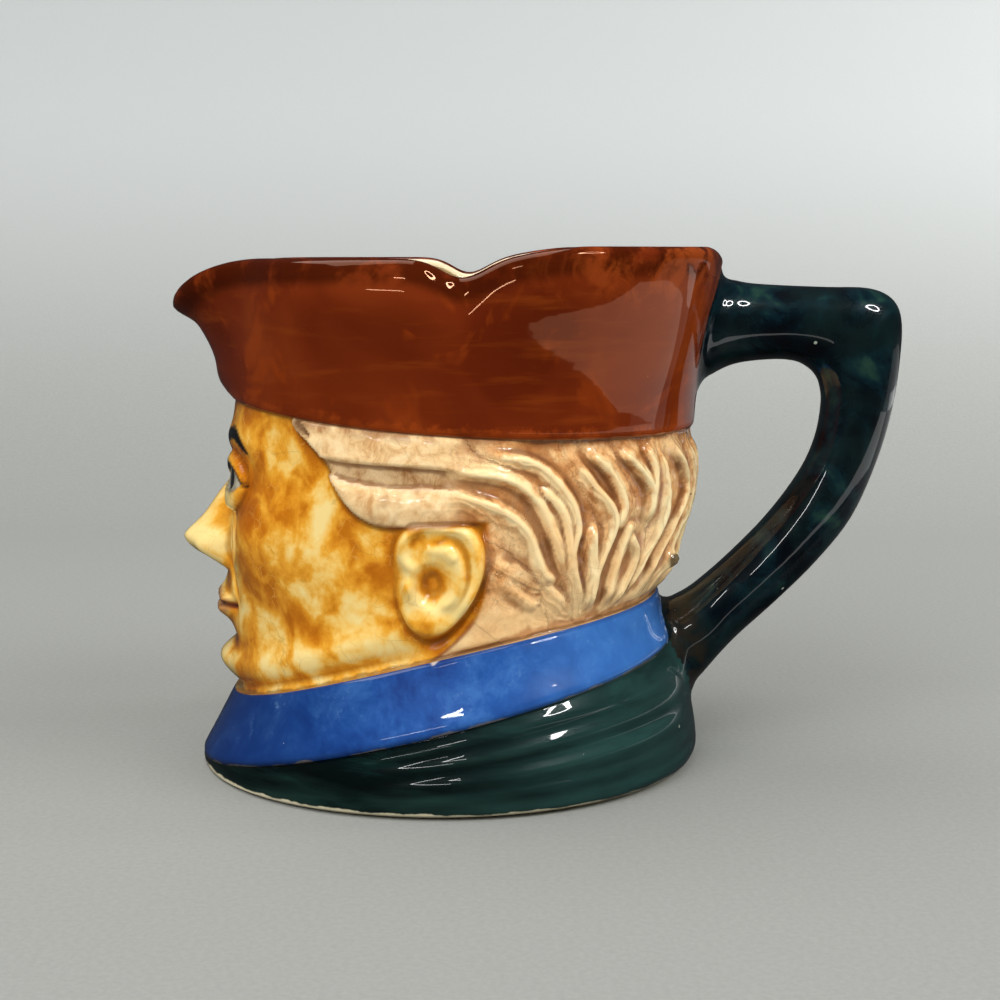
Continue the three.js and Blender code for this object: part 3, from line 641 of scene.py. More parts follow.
class Shell:
    """Rings of points, the faces between them and a value of each mask at every point."""

    def __init__(self):
        self.points = []
        self.masks = []
        self.faces = []
        self.slots = []
        self.count = 0
        self.ring = None

    def face(self, corners, slot):
        self.faces.append([int(corner) for corner in corners])
        self.slots.append(slot)

    def add(self, angles, rows_and_masks, slot):
        """Adds rows of rings above the last one; `slot` is the material of the faces below them."""
        points, masks = rows_and_masks
        rows, columns = points.shape[:2]
        for row in range(rows):
            ring = (angles, self.count + np.arange(columns))
            self.points.append(points[row])
            self.masks.append({name: value[row] for name, value in masks.items()})
            self.count += columns
            if self.ring is not None:
                self.bridge(self.ring, ring, slot)
            self.ring = ring

    def bridge(self, lower, upper, slot):
        """Faces between two rings: squares, or triangles where the rings differ in their columns."""
        (angles_a, a), (angles_b, b) = lower, upper
        if len(a) == len(b):
            for corners in np.stack([a, np.roll(a, -1), np.roll(b, -1), b], -1):
                self.face(corners, slot)
            return
        next_a = np.append(angles_a[1:], 360.0)
        next_b = np.append(angles_b[1:], 360.0)
        i = j = 0
        while i < len(a) or j < len(b):
            here_a, here_b = a[i % len(a)], b[j % len(b)]
            if j >= len(b) or (i < len(a) and next_a[i] <= next_b[j]):
                i += 1
                self.face([here_a, a[i % len(a)], here_b], slot)
            else:
                j += 1
                self.face([here_a, b[j % len(b)], here_b], slot)

    def cap(self, height, slot, up):
        """Closes the last ring with a fan round a point on the axis."""
        _, ring = self.ring
        self.points.append(np.array([(0, 0, height)], float))
        self.masks.append({})
        after = np.roll(ring, -1)
        order = (ring, after) if up else (after, ring)
        for p, q in zip(*order):
            self.face([p, q, self.count], slot)
        self.count += 1


def build_shell():
    fine = column_angles(HEAD_COLUMNS)
    coarse = fine[::2]
    sparse = fine[::4]
    shell = Shell()

    def column(count):
        return np.linspace(0, 1, count)[:, None]

    # Underside: a glazed recess inside a flat, bare foot ring.
    reach = reach_at(COAT_REACH, np.zeros(1))
    rows = np.array([wall(reach, sparse, -inward, height) for inward, height in FOOT_RINGS])
    shell.add(sparse, (rows[:1], {}), CAVITY_GLAZE)
    shell.cap(FOOT_RINGS[0][1], CAVITY_GLAZE, False)
    shell.add(sparse, (rows[1:3], {}), CAVITY_GLAZE)
    shell.add(sparse, (rows[3:], {}), FOOT)
    edge, _ = coat(coarse[None], np.zeros((1, 1)))
    edge[..., 2] = FOOT_EDGE
    shell.add(coarse, (edge, {}), FOOT)

    # Outside.
    shell.add(coarse, coat(coarse[None], mix(COAT_START, 1.0, column(COAT_ROWS))), COAT)
    shell.add(coarse, collar(coarse[None], column(COLLAR_ROWS)), COLLAR)
    shell.add(fine, head(fine[None], column(HEAD_ROWS)), HEAD)
    shell.add(coarse, hat(coarse[None], column(HAT_ROWS) ** 1.15), HAT)

    # Over the rim, down inside the hat and into the cavity.
    shares = np.linspace(0, 1, LIP_STEPS + 1)[1:, None]
    over = LIP_STEPS * 2 // 3
    for slot, share in ((HAT, shares[:over]), (CAVITY_GLAZE, shares[over:])):
        shell.add(coarse, hat(coarse[None], np.ones((1, 1)), *rim_roll(coarse[None], share)), slot)
    inner = np.array(HAT_INSIDE)[:, None]
    thickness = mix(WALL, LIP_THICKNESS, smooth(0.8, 1, inner))
    shell.add(sparse, hat(sparse[None], inner, thickness), CAVITY_GLAZE)
    shell.add(sparse, cavity(sparse[None], column(CAVITY_ROWS)), CAVITY_GLAZE)
    last = shell.points[-1]
    for share in (0.66, 0.33):
        shell.add(sparse, ((last * np.array([share, share, 1.0]))[None], {}), CAVITY_GLAZE)
    shell.cap(CAVITY[-1][0][0], CAVITY_GLAZE, True)
    return shell


def mesh_object(name, points, faces):
    mesh = bpy.data.meshes.new(name)
    mesh.from_pydata(points, [], faces)
    thing = bpy.data.objects.new(name, mesh)
    bpy.context.collection.objects.link(thing)
    return thing


def glazed_object(name, points, faces, slots):
    """A mesh from points in millimetres, with the material slot of each face."""
    thing = mesh_object(name, (points * MM).tolist(), faces)
    thing.data.update()
    thing.data.polygons.foreach_set("material_index", np.array(slots, dtype=np.int32))
    for material in MATERIALS:
        thing.data.materials.append(material)
    return thing


# ---- handle ----
def handle_shape():
    """Rounded-square rings lofted along the handle; both ends lie inside the wall."""
    line = curve_through([(*outer, *inner, flare) for outer, inner, flare in HANDLE], HANDLE_STEPS)
    turn = 2 * np.pi * (np.arange(HANDLE_SIDES) + 0.5) / HANDLE_SIDES
    c, s = np.cos(turn), np.sin(turn)
    power = 2 / HANDLE_SQUARENESS
    t = (1 + np.sign(c) * np.abs(c) ** power) / 2
    rings = []
    for oy, oz, iy, iz, flare in line:
        across = (HANDLE_WIDTH / 2 + flare) * np.sign(s) * np.abs(s) ** power
        rings.append(np.stack([across, mix(iy, oy, t), mix(iz, oz, t)], -1))
    n, last = HANDLE_SIDES, (len(line) - 1) * HANDLE_SIDES
    faces = []
    for i in range(0, last, n):
        faces += [[i + k, i + (k + 1) % n, i + (k + 1) % n + n, i + k + n] for k in range(n)]
    faces += [list(range(n - 1, -1, -1)), list(range(last, last + n))]
    return np.concatenate(rings), faces


# ---- joined jug ----
def fetch(items, name, columns, kind=float):
    """One property of all the items, as a table with so many columns."""
    flat = np.empty(len(items) * columns, dtype=kind)
    items.foreach_get(name, flat)
    return flat.reshape(-1, columns)


def store(mesh, name, values):
    """Keeps a value at each point, under a name that the materials ask for."""
    mesh.attributes.new(name, "FLOAT", "POINT").data.foreach_set("value", values.astype(np.float32))


def search_tree(points):
    tree = kdtree.KDTree(len(points))
    for i, point in enumerate(points):
        tree.insert(point, i)
    tree.balance()
    return tree


def average_of_neighbours(values, ends):
    """For each point, the mean of the points that edges join it to."""
    a, b = ends.T
    degree = np.bincount(ends.ravel(), minlength=len(values)).astype(float)
    total = [np.bincount(a, v[b], len(v)) + np.bincount(b, v[a], len(v)) for v in values.T]
    return np.stack(total, -1) / degree[:, None]


def make_jug():
    shell = build_shell()
    points = np.concatenate(shell.points)
    body = glazed_object("jug_shell", points, shell.faces, shell.slots)
    handle_points, handle_faces = handle_shape()
    handle = glazed_object("jug_handle", handle_points, handle_faces, [HANDLE_GLAZE] * len(handle_faces))
    join = body.modifiers.new("join", "BOOLEAN")
    join.operation = "UNION"
    join.solver = "EXACT"
    join.object = handle
    depsgraph = bpy.context.evaluated_depsgraph_get()
    joined = bpy.data.meshes.new_from_object(body.evaluated_get(depsgraph))
    joined.name = "jug"
    jug = bpy.data.objects.new("jug", joined)
    bpy.context.collection.objects.link(jug)

    # Each mask is carried over from the nearest point of the shell.
    tree = search_tree(points * MM)
    nearest = [tree.find(v.co) for v in joined.vertices]
    index = np.array([found[1] for found in nearest])
    on_shell = np.array([found[2] for found in nearest]) / MM < 0.5
    for name in sorted({name for masks in shell.masks for name in masks}):
        blocks = [masks.get(name, np.zeros(len(ring))) for masks, ring in zip(shell.masks, shell.points)]
        store(joined, name, np.concatenate(blocks)[index] * on_shell)

    soften_seam(joined)
    mark_hollows(joined)
    for thing in (body, handle):
        bpy.data.objects.remove(thing)
    joined.shade_smooth()
    return jug


def soften_seam(mesh):
    """Rounds the inside corner where the handle meets the wall, as smoothed slip does."""
    co = fetch(mesh.vertices, "co", 3)
    ends = fetch(mesh.edges, "vertices", 2, np.int64)
    on_handle = np.zeros(len(co), bool)
    on_body = np.zeros(len(co), bool)
    for face in mesh.polygons:
        target = on_handle if face.material_index == HANDLE_GLAZE else on_body
        target[list(face.vertices)] = True
    tree = search_tree(co[on_handle & on_body])
    distance = np.array([tree.find(p)[2] for p in co]) / MM
    store(mesh, "from_join", distance)
    weight = SEAM["pull"] * smooth(SEAM["reach"], SEAM["full"], distance)[:, None]
    for _ in range(SEAM["steps"]):
        co += weight * (average_of_neighbours(co, ends) - co)
    mesh.vertices.foreach_set("co", co.ravel())
    mesh.update()


def mark_hollows(mesh):
    """How far each point lies below (positive) or above the smoothed surface round it, in mm."""
    start = fetch(mesh.vertices, "co", 3)
    normals = fetch(mesh.vertex_normals, "vector", 3)
    ends = fetch(mesh.edges, "vertices", 2, np.int64)
    names = {FINE_STEPS: "hollow", WIDE_STEPS: "wide_hollow"}
    co = start
    for step in range(1, WIDE_STEPS + 1):
        co = average_of_neighbours(co, ends)
        if step in names:
            store(mesh, names[step], ((co - start) * normals).sum(1) / MM)


# ---- materials ----
class Graph:
    """Short calls for building a material's nodes. Colours are sRGB, in 0..255."""

    def __init__(self, name):
        self.material = bpy.data.materials.new(name)
        self.material.use_nodes = True
        self.tree = self.material.node_tree
        self.shader = self.tree.nodes["Principled BSDF"].inputs
        self.place = self.tree.nodes.new("ShaderNodeTexCoord").outputs["Object"]

    def node(self, kind, inputs=(), **values):
        """A node with its settings; `inputs` gives numbers or sockets by the input's name or index."""
        node = self.tree.nodes.new("ShaderNode" + kind)
        for name, value in values.items():
            setattr(node, name, value)
        self.put(dict(inputs), node.inputs)
        return node

    def put(self, values, inputs):
        for name, value in values.items():
            if isinstance(value, bpy.types.NodeSocket):
                self.tree.links.new(value, inputs[name])
            else:
                inputs[name].default_value = value

    def scaled(self, size, seed, stretch=(1, 1, 1), source=None):
        """The place on the jug, counted in steps of `size` millimetres."""
        return self.node("Mapping", {
            "Vector": source or self.place,
            "Scale": [s / (size * 0.001) for s in stretch],
            "Location": (seed, seed * 0.7, seed * 1.3),
        }).outputs["Vector"]

    def noise(self, size, detail=3.0, rough=0.5, distortion=0.0, stretch=(1, 1, 1), seed=0.0):
        """Noise with features of about `size` millimetres."""
        return self.node("TexNoise", {
            "Vector": self.scaled(size, seed, stretch), "Scale": 1.0, "Detail": detail,
            "Roughness": rough, "Distortion": distortion,
        }).outputs["Fac"]

    def level(self, value, low, high, out_low=0.0, out_high=1.0):
        """Value stretched so that low..high becomes out_low..out_high, held at both ends."""
        inputs = {"Value": value, "From Min": low, "From Max": high, "To Min": out_low, "To Max": out_high}
        return self.node("MapRange", inputs, interpolation_type="SMOOTHSTEP").outputs["Result"]

    def patches(self, size, low, high, out_low=0.0, out_high=1.0, **noise):
        """Noise, stretched as `level` does it."""
        return self.level(self.noise(size, **noise), low, high, out_low, out_high)

    def mask(self, name, *span):
        """One of the jug's masks, stretched as `level` does it if a range is given."""
        value = self.node("Attribute", attribute_name=name).outputs["Fac"]
        return self.level(value, *span) if span else value

    def axis(self, index, *span):
        """The place along one axis, in metres, stretched in the same way."""
        value = self.node("SeparateXYZ", {0: self.place}).outputs[index]
        return self.level(value, *span) if span else value

    def ragged(self, value, size, amount, **noise):
        """A value whose even lines are made uneven by up to `amount`."""
        return self.plus(value, self.patches(size, 0.3, 0.7, -amount, amount, **noise))

    def math(self, operation, a, b=0.0):
        return self.node("Math", {0: a, 1: b}, operation=operation).outputs[0]

    def times(self, first, *others):
        for other in others:
            first = self.math("MULTIPLY", first, other)
        return first

    def plus(self, a, b):
        return self.math("ADD", a, b)

    def ramp(self, value, stops):
        """Colour ramp: stops are (place, colour)."""
        node = self.node("ValToRGB", {"Fac": value})
        elements = node.color_ramp.elements
        while len(elements) < len(stops):
            elements.new(0.5)
        for element, (at, colour) in zip(elements, stops):
            element.position = at
            element.color = linear(colour)
        return node.outputs["Color"]

    def mix(self, amount, a, b):
        return self.node("Mix", {0: amount, 6: a, 7: b}, data_type="RGBA").outputs[2]

    def layers(self, colour, *layers):
        """Paint laid over a colour, layer by layer: where, colour and, if it is not 1, how strong."""
        for where, paint, *share in layers:
            colour = self.mix(self.times(where, *share), colour, linear(paint))
        return colour

    def bump(self, height, distance, under=None):
        """Relief of so many millimetres, on top of another bump if one is given."""
        inputs = {"Strength": 1.0, "Distance": distance * 0.001, "Height": height}
        if under:
            inputs["Normal"] = under
        return self.node("Bump", inputs).outputs["Normal"]

    def craze(self, size, width=0.02):
        """1 on the fine cracks of a crazed glaze."""
        warp = self.node("TexNoise", {"Vector": self.place, "Scale": 260.0, "Detail": 2.0}).outputs["Color"]
        bent = {0: warp, 1: [2.4 * 0.001] * 3, 2: self.place}
        bent = self.node("VectorMath", bent, operation="MULTIPLY_ADD").outputs[0]
        cells = {"Vector": self.scaled(size, 3.0, source=bent), "Scale": 1.0}
        edge = self.node("TexVoronoi", cells, feature="DISTANCE_TO_EDGE").outputs["Distance"]
        strong = self.patches(7, 0.42, 0.62, detail=2.0, seed=8.0)
        return self.times(self.level(edge, width, 0.15 * width), strong)

    def specks(self, size, share, radius, seed):
        """1 inside small round dots; about `share` of cells `size` mm wide holds one."""
        cells = {"Vector": self.scaled(size, seed), "Scale": 1.0}
        cells = self.node("TexVoronoi", cells, feature="F1").outputs
        draws = self.node("SeparateColor", {0: cells["Color"]}).outputs
        chosen = self.math("LESS_THAN", draws[0], share)
        own_radius = self.times(self.plus(draws[1], 0.5), radius / size)
        return self.times(self.level(self.math("DIVIDE", cells["Distance"], own_radius), 1.0, 0.7), chosen)

    def waves(self, strength=1.0):
        """The slow unevenness and small dimples of a dipped glaze."""
        slow = self.bump(self.noise(16, 1.0, seed=3.1), 0.09 * strength)
        return self.bump(self.noise(2.6, 1.0, seed=7.7), 0.012 * strength, under=slow)

    def over_join(self):
        """Layer where the handle's dark glaze laps a little over the wall that it is joined to."""
        return self.level(self.ragged(self.mask("from_join"), 2.5, 0.35, seed=17.0), 1.4, 0.9), (6, 20, 24)

    def finish(self, colour, roughness=0.3, normal=None, coat=1.0, specular=0.1, **inputs):
        normal = normal or self.waves()
        self.put({"Base Color": colour, "Normal": normal, "Coat Normal": normal, "Roughness": roughness,
                  "Specular IOR Level": specular, "Coat Weight": coat, "Coat Roughness": 0.03,
                  "Coat IOR": 1.5, **inputs}, self.shader)
        return self.material


def linear(colour):
    """Linear colour, with alpha, of an sRGB colour given in 0..255."""
    shares = [value / 255 for value in colour]
    return (*(c / 12.92 if c <= 0.04045 else ((c + 0.055) / 1.055) ** 2.4 for c in shares), 1)


def hat_material():
    """Red-brown glaze, brushed round, thin and orange at the hem and behind, dark on the rim."""
    g = Graph("hat_glaze")
    broad = g.noise(24, 2.5, 0.55, 0.5, seed=1.0)
    hem = g.level(g.ragged(g.mask("above_hem"), 1.8, 0.7, detail=4.0, rough=0.7, seed=5.0), 2.0, 0.4)
    colour = g.layers(
        g.ramp(broad, [(0.32, (92, 30, 9)), (0.5, (108, 39, 13)), (0.68, (126, 52, 18))]),
        (g.patches(5, 0.5, 0.8, 0.0, 0.45, rough=0.6, distortion=0.2, stretch=(0.25, 0.25, 2.2), seed=4.0),
         (142, 64, 18)),
        (g.patches(13, 0.55, 0.68, rough=0.6, distortion=0.7, seed=31.0), (150, 62, 16), 0.45),
        (g.times(hem, g.patches(9, 0.4, 0.62, 0.15, 0.75, seed=45.0)), (158, 66, 20)),
        (g.times(g.mask("below_rim", 4.2, 2.0), g.patches(6, 0.5, 0.7, 0.85, 0.1, rough=0.6, seed=15.0)),
         (58, 16, 3)),
        (g.times(g.axis(1, 0.008, 0.034), g.mask("below_rim", 11.0, 3.0),
                 g.patches(6, 0.42, 0.62, detail=4.0, rough=0.65, distortion=0.6, seed=57.0)),
         (150, 66, 24), 0.75),
        (g.specks(5, 0.35, 0.16, 3.0), (190, 110, 70), 0.5),
        g.over_join(),
    )
    return g.finish(colour, 0.035, coat=0.0, specular=0.5, **{"Specular Tint": (1.0, 0.52, 0.3, 1)})


def cavity_material():
    g = Graph("cream_glaze")
    lip = g.level(g.ragged(g.mask("below_rim"), 4, 0.5, seed=2.0), -0.2, -1.1)
    return g.finish(g.layers(
        g.ramp(g.noise(30), [(0.3, (218, 200, 162)), (0.7, (236, 222, 190))]),
        (g.craze(5.0), (150, 118, 84), 0.2),
        (g.times(lip, g.mask("below_rim", 0.0, -0.1)), (104, 46, 20)),
    ))


def skin_colour(g):
    """Cream yellow glaze, sponged with amber that pools in the hollows."""
    large = g.times(g.noise(15.0, 2.0, 0.5, 0.8, seed=5.0), 0.6)
    broad = g.plus(large, g.times(g.noise(5.0, 2.0, 0.5, 0.6, seed=65.0), 0.4))
    broad = g.plus(broad, g.patches(1.1, 0.25, 0.75, -0.022, 0.022, rough=0.7, seed=41.0))
    clear = g.mask("above_collar", 0.6, 2.6)
    amount = g.plus(broad, g.times(g.mask("wide_hollow", -0.4, 0.55, -0.06, 0.1), clear))
    return g.layers(
        g.ramp(amount, [(0.38, (255, 224, 146)), (0.45, (253, 204, 106)), (0.5, (242, 172, 54)),
                        (0.55, (226, 148, 34)), (0.6, (204, 120, 18)), (0.7, (176, 92, 8))]),
        (g.times(g.craze(2.2, 0.05), g.level(amount, 0.5, 0.6)), (244, 190, 96), 0.35),
        (g.times(g.mask("hollow", 0.03, 0.14), clear), (140, 76, 14), 0.45),
    )


def fine_strands(g):
    """Fine strands between the locks, in -1..1."""
    across = g.mask("strand")
    wave = g.plus(g.times(across, 5.2), g.patches(6, 0.2, 0.8, -4.0, 4.0, detail=2.0, seed=23.0))
    near = g.times(g.level(across, 3.2, 2.0), g.level(across, 0.1, 0.6))
    return g.times(g.math("SINE", wave), near)


def combed_colour(g, mottle, strands):
    """Cream clay under a brown wash that was wiped off the crests and stays in the hollows."""
    cream = g.ramp(g.noise(10, seed=6.0), [(0.3, (255, 212, 150)), (0.7, (255, 236, 182))])
    bare = g.math("MAXIMUM", g.patches(14, 0.46, 0.62, 0.0, 0.45, detail=2.0, seed=33.0),
                  g.mask("above_collar", 9.0, 5.0, 0.0, 0.6))
    wash = g.ramp(mottle, [(0.34, (190, 128, 74)), (0.5, (232, 174, 112)), (0.64, (252, 208, 148))])
    pooled = g.level(g.ragged(g.mask("wide_hollow"), 4, 0.14, seed=39.0), 0.02, 0.3, 0.0, 0.7)
    wash = g.layers(g.mix(bare, wash, cream), (pooled, (172, 106, 54)))
    crest = g.ragged(g.mask("crest"), 1.8, 0.14, seed=19.0)
    return g.layers(
        g.mix(g.level(crest, 0.5, 0.92, 0.0, 0.95), wash, cream),
        # Pooled wash and painted shade along the foot of each lock's steep side.
        (g.times(g.mask("lock_foot", 0.15, 0.8), g.patches(6, 0.38, 0.56, seed=29.0)), (116, 66, 32), 0.75),
        (g.level(strands, 0.3, 1.0, 0.0, 0.22), (134, 86, 46)),
        (g.times(g.patches(0.9, 0.52, 0.66, 0.0, 0.3, rough=0.7, seed=61.0), g.level(crest, 0.8, 0.3),
                 g.mask("above_collar", 5.0, 9.0, 0.3, 1.0)), (128, 78, 40)),
        (g.mask("hollow", 0.03, 0.13, 0.0, 0.35), (112, 66, 32)),
    )


def band_colour(g, mottle):
    """The roll over the ear and the band under the hat: cream, with painted shade greying the hollow between
    them.
    """
    cream = g.ramp(mottle, [(0.34, (212, 162, 106)), (0.46, (240, 200, 144)), (0.62, (252, 222, 170))])
    hollow_shade = g.ramp(mottle, [(0.36, (162, 114, 68)), (0.5, (206, 168, 120)), (0.64, (224, 192, 146))])
    return g.layers(
        # Painted shade: the hollow between the roll and the band is greyed.
        g.mix(g.mask("band_hollow"), cream, hollow_shade),
        (g.patches(9, 0.52, 0.66, rough=0.6, seed=47.0), (172, 122, 72), 0.6),
        (g.mask("hollow", 0.02, 0.14, 0.0, 0.6), (128, 78, 40)),
    )


def head_material():
    g = Graph("face_and_hair_glaze")
    mottle = g.noise(3.6, 5.0, 0.72, 0.5, seed=9.0)
    strands = fine_strands(g)
    hair = g.mix(g.mask("combed"), band_colour(g, mottle), combed_colour(g, mottle, strands))
    shade = g.times(g.mask("under_hem", 2.2, 0.3), g.patches(5, 0.4, 0.6, detail=4.0, rough=0.6, seed=53.0))
    hair = g.layers(hair, (shade, (134, 76, 40), 0.7))
    pits = g.times(g.specks(4.0, 0.45, 0.17, 6.0), g.mask("hair"))
    # Painted shade in the corner just above the collar's top edge.
    collar_step_shade = g.level(g.ragged(g.mask("above_collar"), 3, 0.25, seed=73.0), 0.7, 0.2)
    colour = g.layers(
        g.mix(g.mask("hair"), skin_colour(g), hair),
        # Painted shade: a brown line along the hair's overhanging lower edge.
        (g.mask("hair_line"), (128, 74, 26), 0.7),
        (g.mask("neck_line"), (126, 50, 16), 0.8),
        (collar_step_shade, (116, 80, 42), 0.65),
        (g.craze(4.4), (128, 84, 44), 0.22),
        (pits, (74, 42, 22), 0.8),
        # Painted shade darkening the nick's recess.
        (g.mask("nick"), (92, 54, 30), 0.8),
        (g.mask("crumb", 0.12, 0.35, 0.0, 0.9), (56, 44, 26)),
        (g.mask("white"), (206, 196, 170)),
        (g.mask("iris"), (30, 22, 18)),
        (g.mask("lips"), (158, 74, 44), 0.7),
        (g.mask("parting"), (58, 26, 32)),
        (g.mask("ink"), (12, 10, 12)),
    )
    normal = g.bump(g.noise(1.1, 3.0, 0.6, seed=51.0), 0.03, under=g.waves(0.7))
    normal = g.bump(g.times(strands, g.times(g.mask("hair"), g.mask("combed"))), 0.045, under=normal)
    return g.finish(colour, normal=g.bump(g.times(pits, -1.0), 0.12, under=normal))


def collar_material():
    """Blue glaze: clouded, worn at its lower edge and by the handle, with painted shade darkening the front and
    painted light paling the back.
    """
    g = Graph("collar_glaze")
    mottle = g.noise(7, 5.0, 0.65, 0.3, seed=11.0)
    bare = g.plus(g.mask("from_collar_edge"), g.patches(5, 0.35, 0.65, 0.32, -0.25, detail=4.0, seed=14.0))
    return g.finish(g.layers(
        g.ramp(mottle, [(0.32, (22, 56, 122)), (0.5, (34, 78, 148)), (0.7, (58, 106, 172))]),
        # Painted shade darkening the front (-Y) and painted light paling the back (+Y).
        (g.axis(1, -0.004, -0.034, 0.0, 0.75), (12, 40, 96)),
        (g.axis(1, 0.0, 0.036, 0.0, 0.5), (64, 122, 192)),
        (g.times(g.patches(1.6, 0.55, 0.75, detail=4.0, rough=0.7, seed=27.0), g.level(mottle, 0.5, 0.62)),
         (112, 150, 196), 0.45),
        (g.mask("from_collar_top", 0.9, 0.1, 0.0, 0.55), (18, 50, 110)),
        (g.level(bare, 0.3, 0.12, 0.0, 0.7), (132, 122, 104)),
        (g.specks(4.5, 0.3, 0.12, 9.0), (180, 196, 220), 0.7),
        (g.mask("chip", 0.3, 0.7, 0.0, 0.75), (222, 208, 192)),
        (g.times(g.mask("from_join", 3.4, 2.6), g.patches(1.2, 0.46, 0.6, detail=4.0, rough=0.7, seed=37.0)),
         (176, 190, 214), 0.6),
        g.over_join(),
    ))


def streaked_green(g, streak, stops, stretch, seed, thinning):
    """Near-black green glaze that runs thin over crests, paled there also with painted light."""
    # Pale crests: glaze run thin there, and painted light on them.
    thin = g.times(g.mask("wide_hollow", -0.08, -0.45), g.patches(9, 0.4, 0.7, stretch=stretch, seed=seed + 3))
    return g.layers(g.ramp(streak, stops), (thin, (44, 74, 66), thinning))


# Small pale specks on the green glaze.
def pale_specks(g, seed):
    return g.specks(4.5, 0.4, 0.24, seed), (176, 188, 172), 0.85


def coat_material():
    """Green glaze in streaks that run down, with a painted reflection paling it behind, ending above a bare
    cream edge.
    """
    g = Graph("coat_glaze")
    stretch, seed = (0.4, 0.4, 2.2), 13.0
    streak = g.noise(8, 4.0, 0.62, 0.6, stretch=stretch, seed=seed)
    stops = [(0.4, (1, 5, 5)), (0.56, (1, 12, 11)), (0.68, (6, 28, 25)), (0.82, (22, 52, 46))]
    edge = g.ragged(g.times(g.axis(2), 1 / MM), 5, 0.22, detail=5.0, rough=0.6, seed=1.5)
    return g.finish(g.layers(
        streaked_green(g, streak, stops, stretch, seed, 0.4),
        # Painted reflection paling the back of the coat, in streaks.
        (g.times(g.axis(1, -0.014, 0.034), g.level(streak, 0.3, 0.7, 0.4, 0.9)), (36, 66, 63)),
        pale_specks(g, seed),
        (g.level(edge, 1.25, 0.95), (226, 216, 184)),
    ))


def handle_material():
    """Green glaze, browner at the handle's lower root."""
    g = Graph("handle_glaze")
    seed = 21.0
    streak = g.noise(8, 4.0, 0.62, 0.6, seed=seed)
    stops = [(0.38, (1, 4, 9)), (0.5, (1, 13, 20)), (0.6, (6, 30, 36)), (0.74, (34, 62, 48))]
    root = g.times(g.axis(2, 0.046, 0.036), g.mask("from_join", 7.0, 4.0))
    return g.finish(g.layers(
        streaked_green(g, streak, stops, (1, 1, 1), seed, 0.12),
        pale_specks(g, seed),
        (g.times(root, g.patches(4, 0.35, 0.6, rough=0.6, seed=71.0)), (40, 32, 22), 0.8),
    ))


def foot_material():
    g = Graph("bare_foot")
    colour = g.ramp(g.noise(2.0, 4.0), [(0.3, (216, 202, 170)), (0.7, (238, 228, 204))])
    return g.finish(colour, 0.75, coat=0.0, normal=g.bump(g.noise(0.6), 0.05))


# In the order of the slots.
MATERIALS = [make() for make in (hat_material, cavity_material, head_material, collar_material,
                                 coat_material, foot_material, handle_material)]

jug = make_jug()
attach(jug, "root")
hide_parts("toby_jug")


# ---- floor, light and camera ----
MIDDLE = Vector((0, 0, 0.045))
FLOOR = {"front": 2.0, "near": 0.3, "behind": -0.55, "bend": 0.3, "half_width": 3.0, "top": 2.0}
# Bright sheets that lie just over the floor in the glaze's reflection: name, height, outline, strength
# and, for one that fades, where it begins and ends along Y.
CARDS = [
    ("wedge_card", 0.0006,
     [(0.172, 0.076), (0.143, 0.122), (0.12, 0.16), (0.104, 0.2), (0.1, 0.24), (0.09, 0.33),
      (-0.05, 0.33), (-0.03, 0.2), (0.0, 0.19), (0.05, 0.17), (0.1, 0.12), (0.15, 0.07)], 1.15, None),
    ("rear_card", 0.0006, [(-0.08, 0.33), (-0.08, 0.42), (-0.4, 0.42), (-0.4, 0.33)], 1.3, None),
    ("floor_card", 0.0003, [(0.05, 0.08), (0.05, 1.2), (-0.6, 1.2), (-0.6, 0.08)], 0.9, (0.06, 0.3)),
]
# A ring lamp and thin strips: their place is azimuth, elevation and distance.
RING = {"place": (50, 42.3, 0.9), "inner": 0.084, "outer": 0.112, "steps": 48, "strength": 45.0}
# Name, place, half width, half height, strength.
STRIPS = [("strip_high", (-14, 35, 0.9), 0.1, 0.007, 32.0), ("strip_low", (-24, 18, 0.9), 0.24, 0.006, 26.0)]
WORLD = {"colour": (0.9, 0.95, 1.0), "strength": 0.035}
CAMERA = {"place": (0.31905, 0.00915, 0.08993), "slope": 250 / 1800, "sensor": 36.0, "lens": 36.0 * 1.8}


def stage_object(name, points, faces):
    thing = mesh_object(name, points, faces)
    return thing


def make_floor():
    """A pale sheet that lies flat under the jug and curves up behind it."""
    behind, bend, width = FLOOR["behind"], FLOOR["bend"], FLOOR["half_width"]
    profile = [(FLOOR["front"], 0.0), (FLOOR["near"], 0.0), (behind + bend, 0.0)]
    profile += [(behind + bend - bend * math.sin(t), bend - bend * math.cos(t))
                for t in np.linspace(0, math.pi / 2, 24)[1:]]
    profile.append((behind, FLOOR["top"]))
    points = [(x, side * width, z) for x, z in profile for side in (-1, 1)]
    faces = [(2 * i, 2 * i + 1, 2 * i + 3, 2 * i + 2) for i in range(len(profile) - 1)]
    floor = stage_object("floor", points, faces)
    floor.data.shade_smooth()
    g = Graph("paper")
    colour = g.layers(
        g.ramp(g.noise(1.0, 3.0, 0.7), [(0.35, (141, 142, 138)), (0.65, (147, 148, 144))]),
        # Painted light: the backdrop paler from the floor up to 0.16 m.
        (g.axis(2, 0.0, 0.16), (176, 179, 178)),
    )
    floor.data.materials.append(g.finish(colour, 0.8, coat=0.0, normal=g.bump(g.noise(0.9, 4.0), 0.05)))
    floor.visible_glossy = False


def from_azimuth(azimuth, elevation, distance):
    """A place as seen from the jug: azimuth from +X towards +Y, in degrees, and metres away."""
    a, e = math.radians(azimuth), math.radians(elevation)
    return MIDDLE + distance * Vector((math.cos(a) * math.cos(e), math.sin(a) * math.cos(e), math.sin(e)))


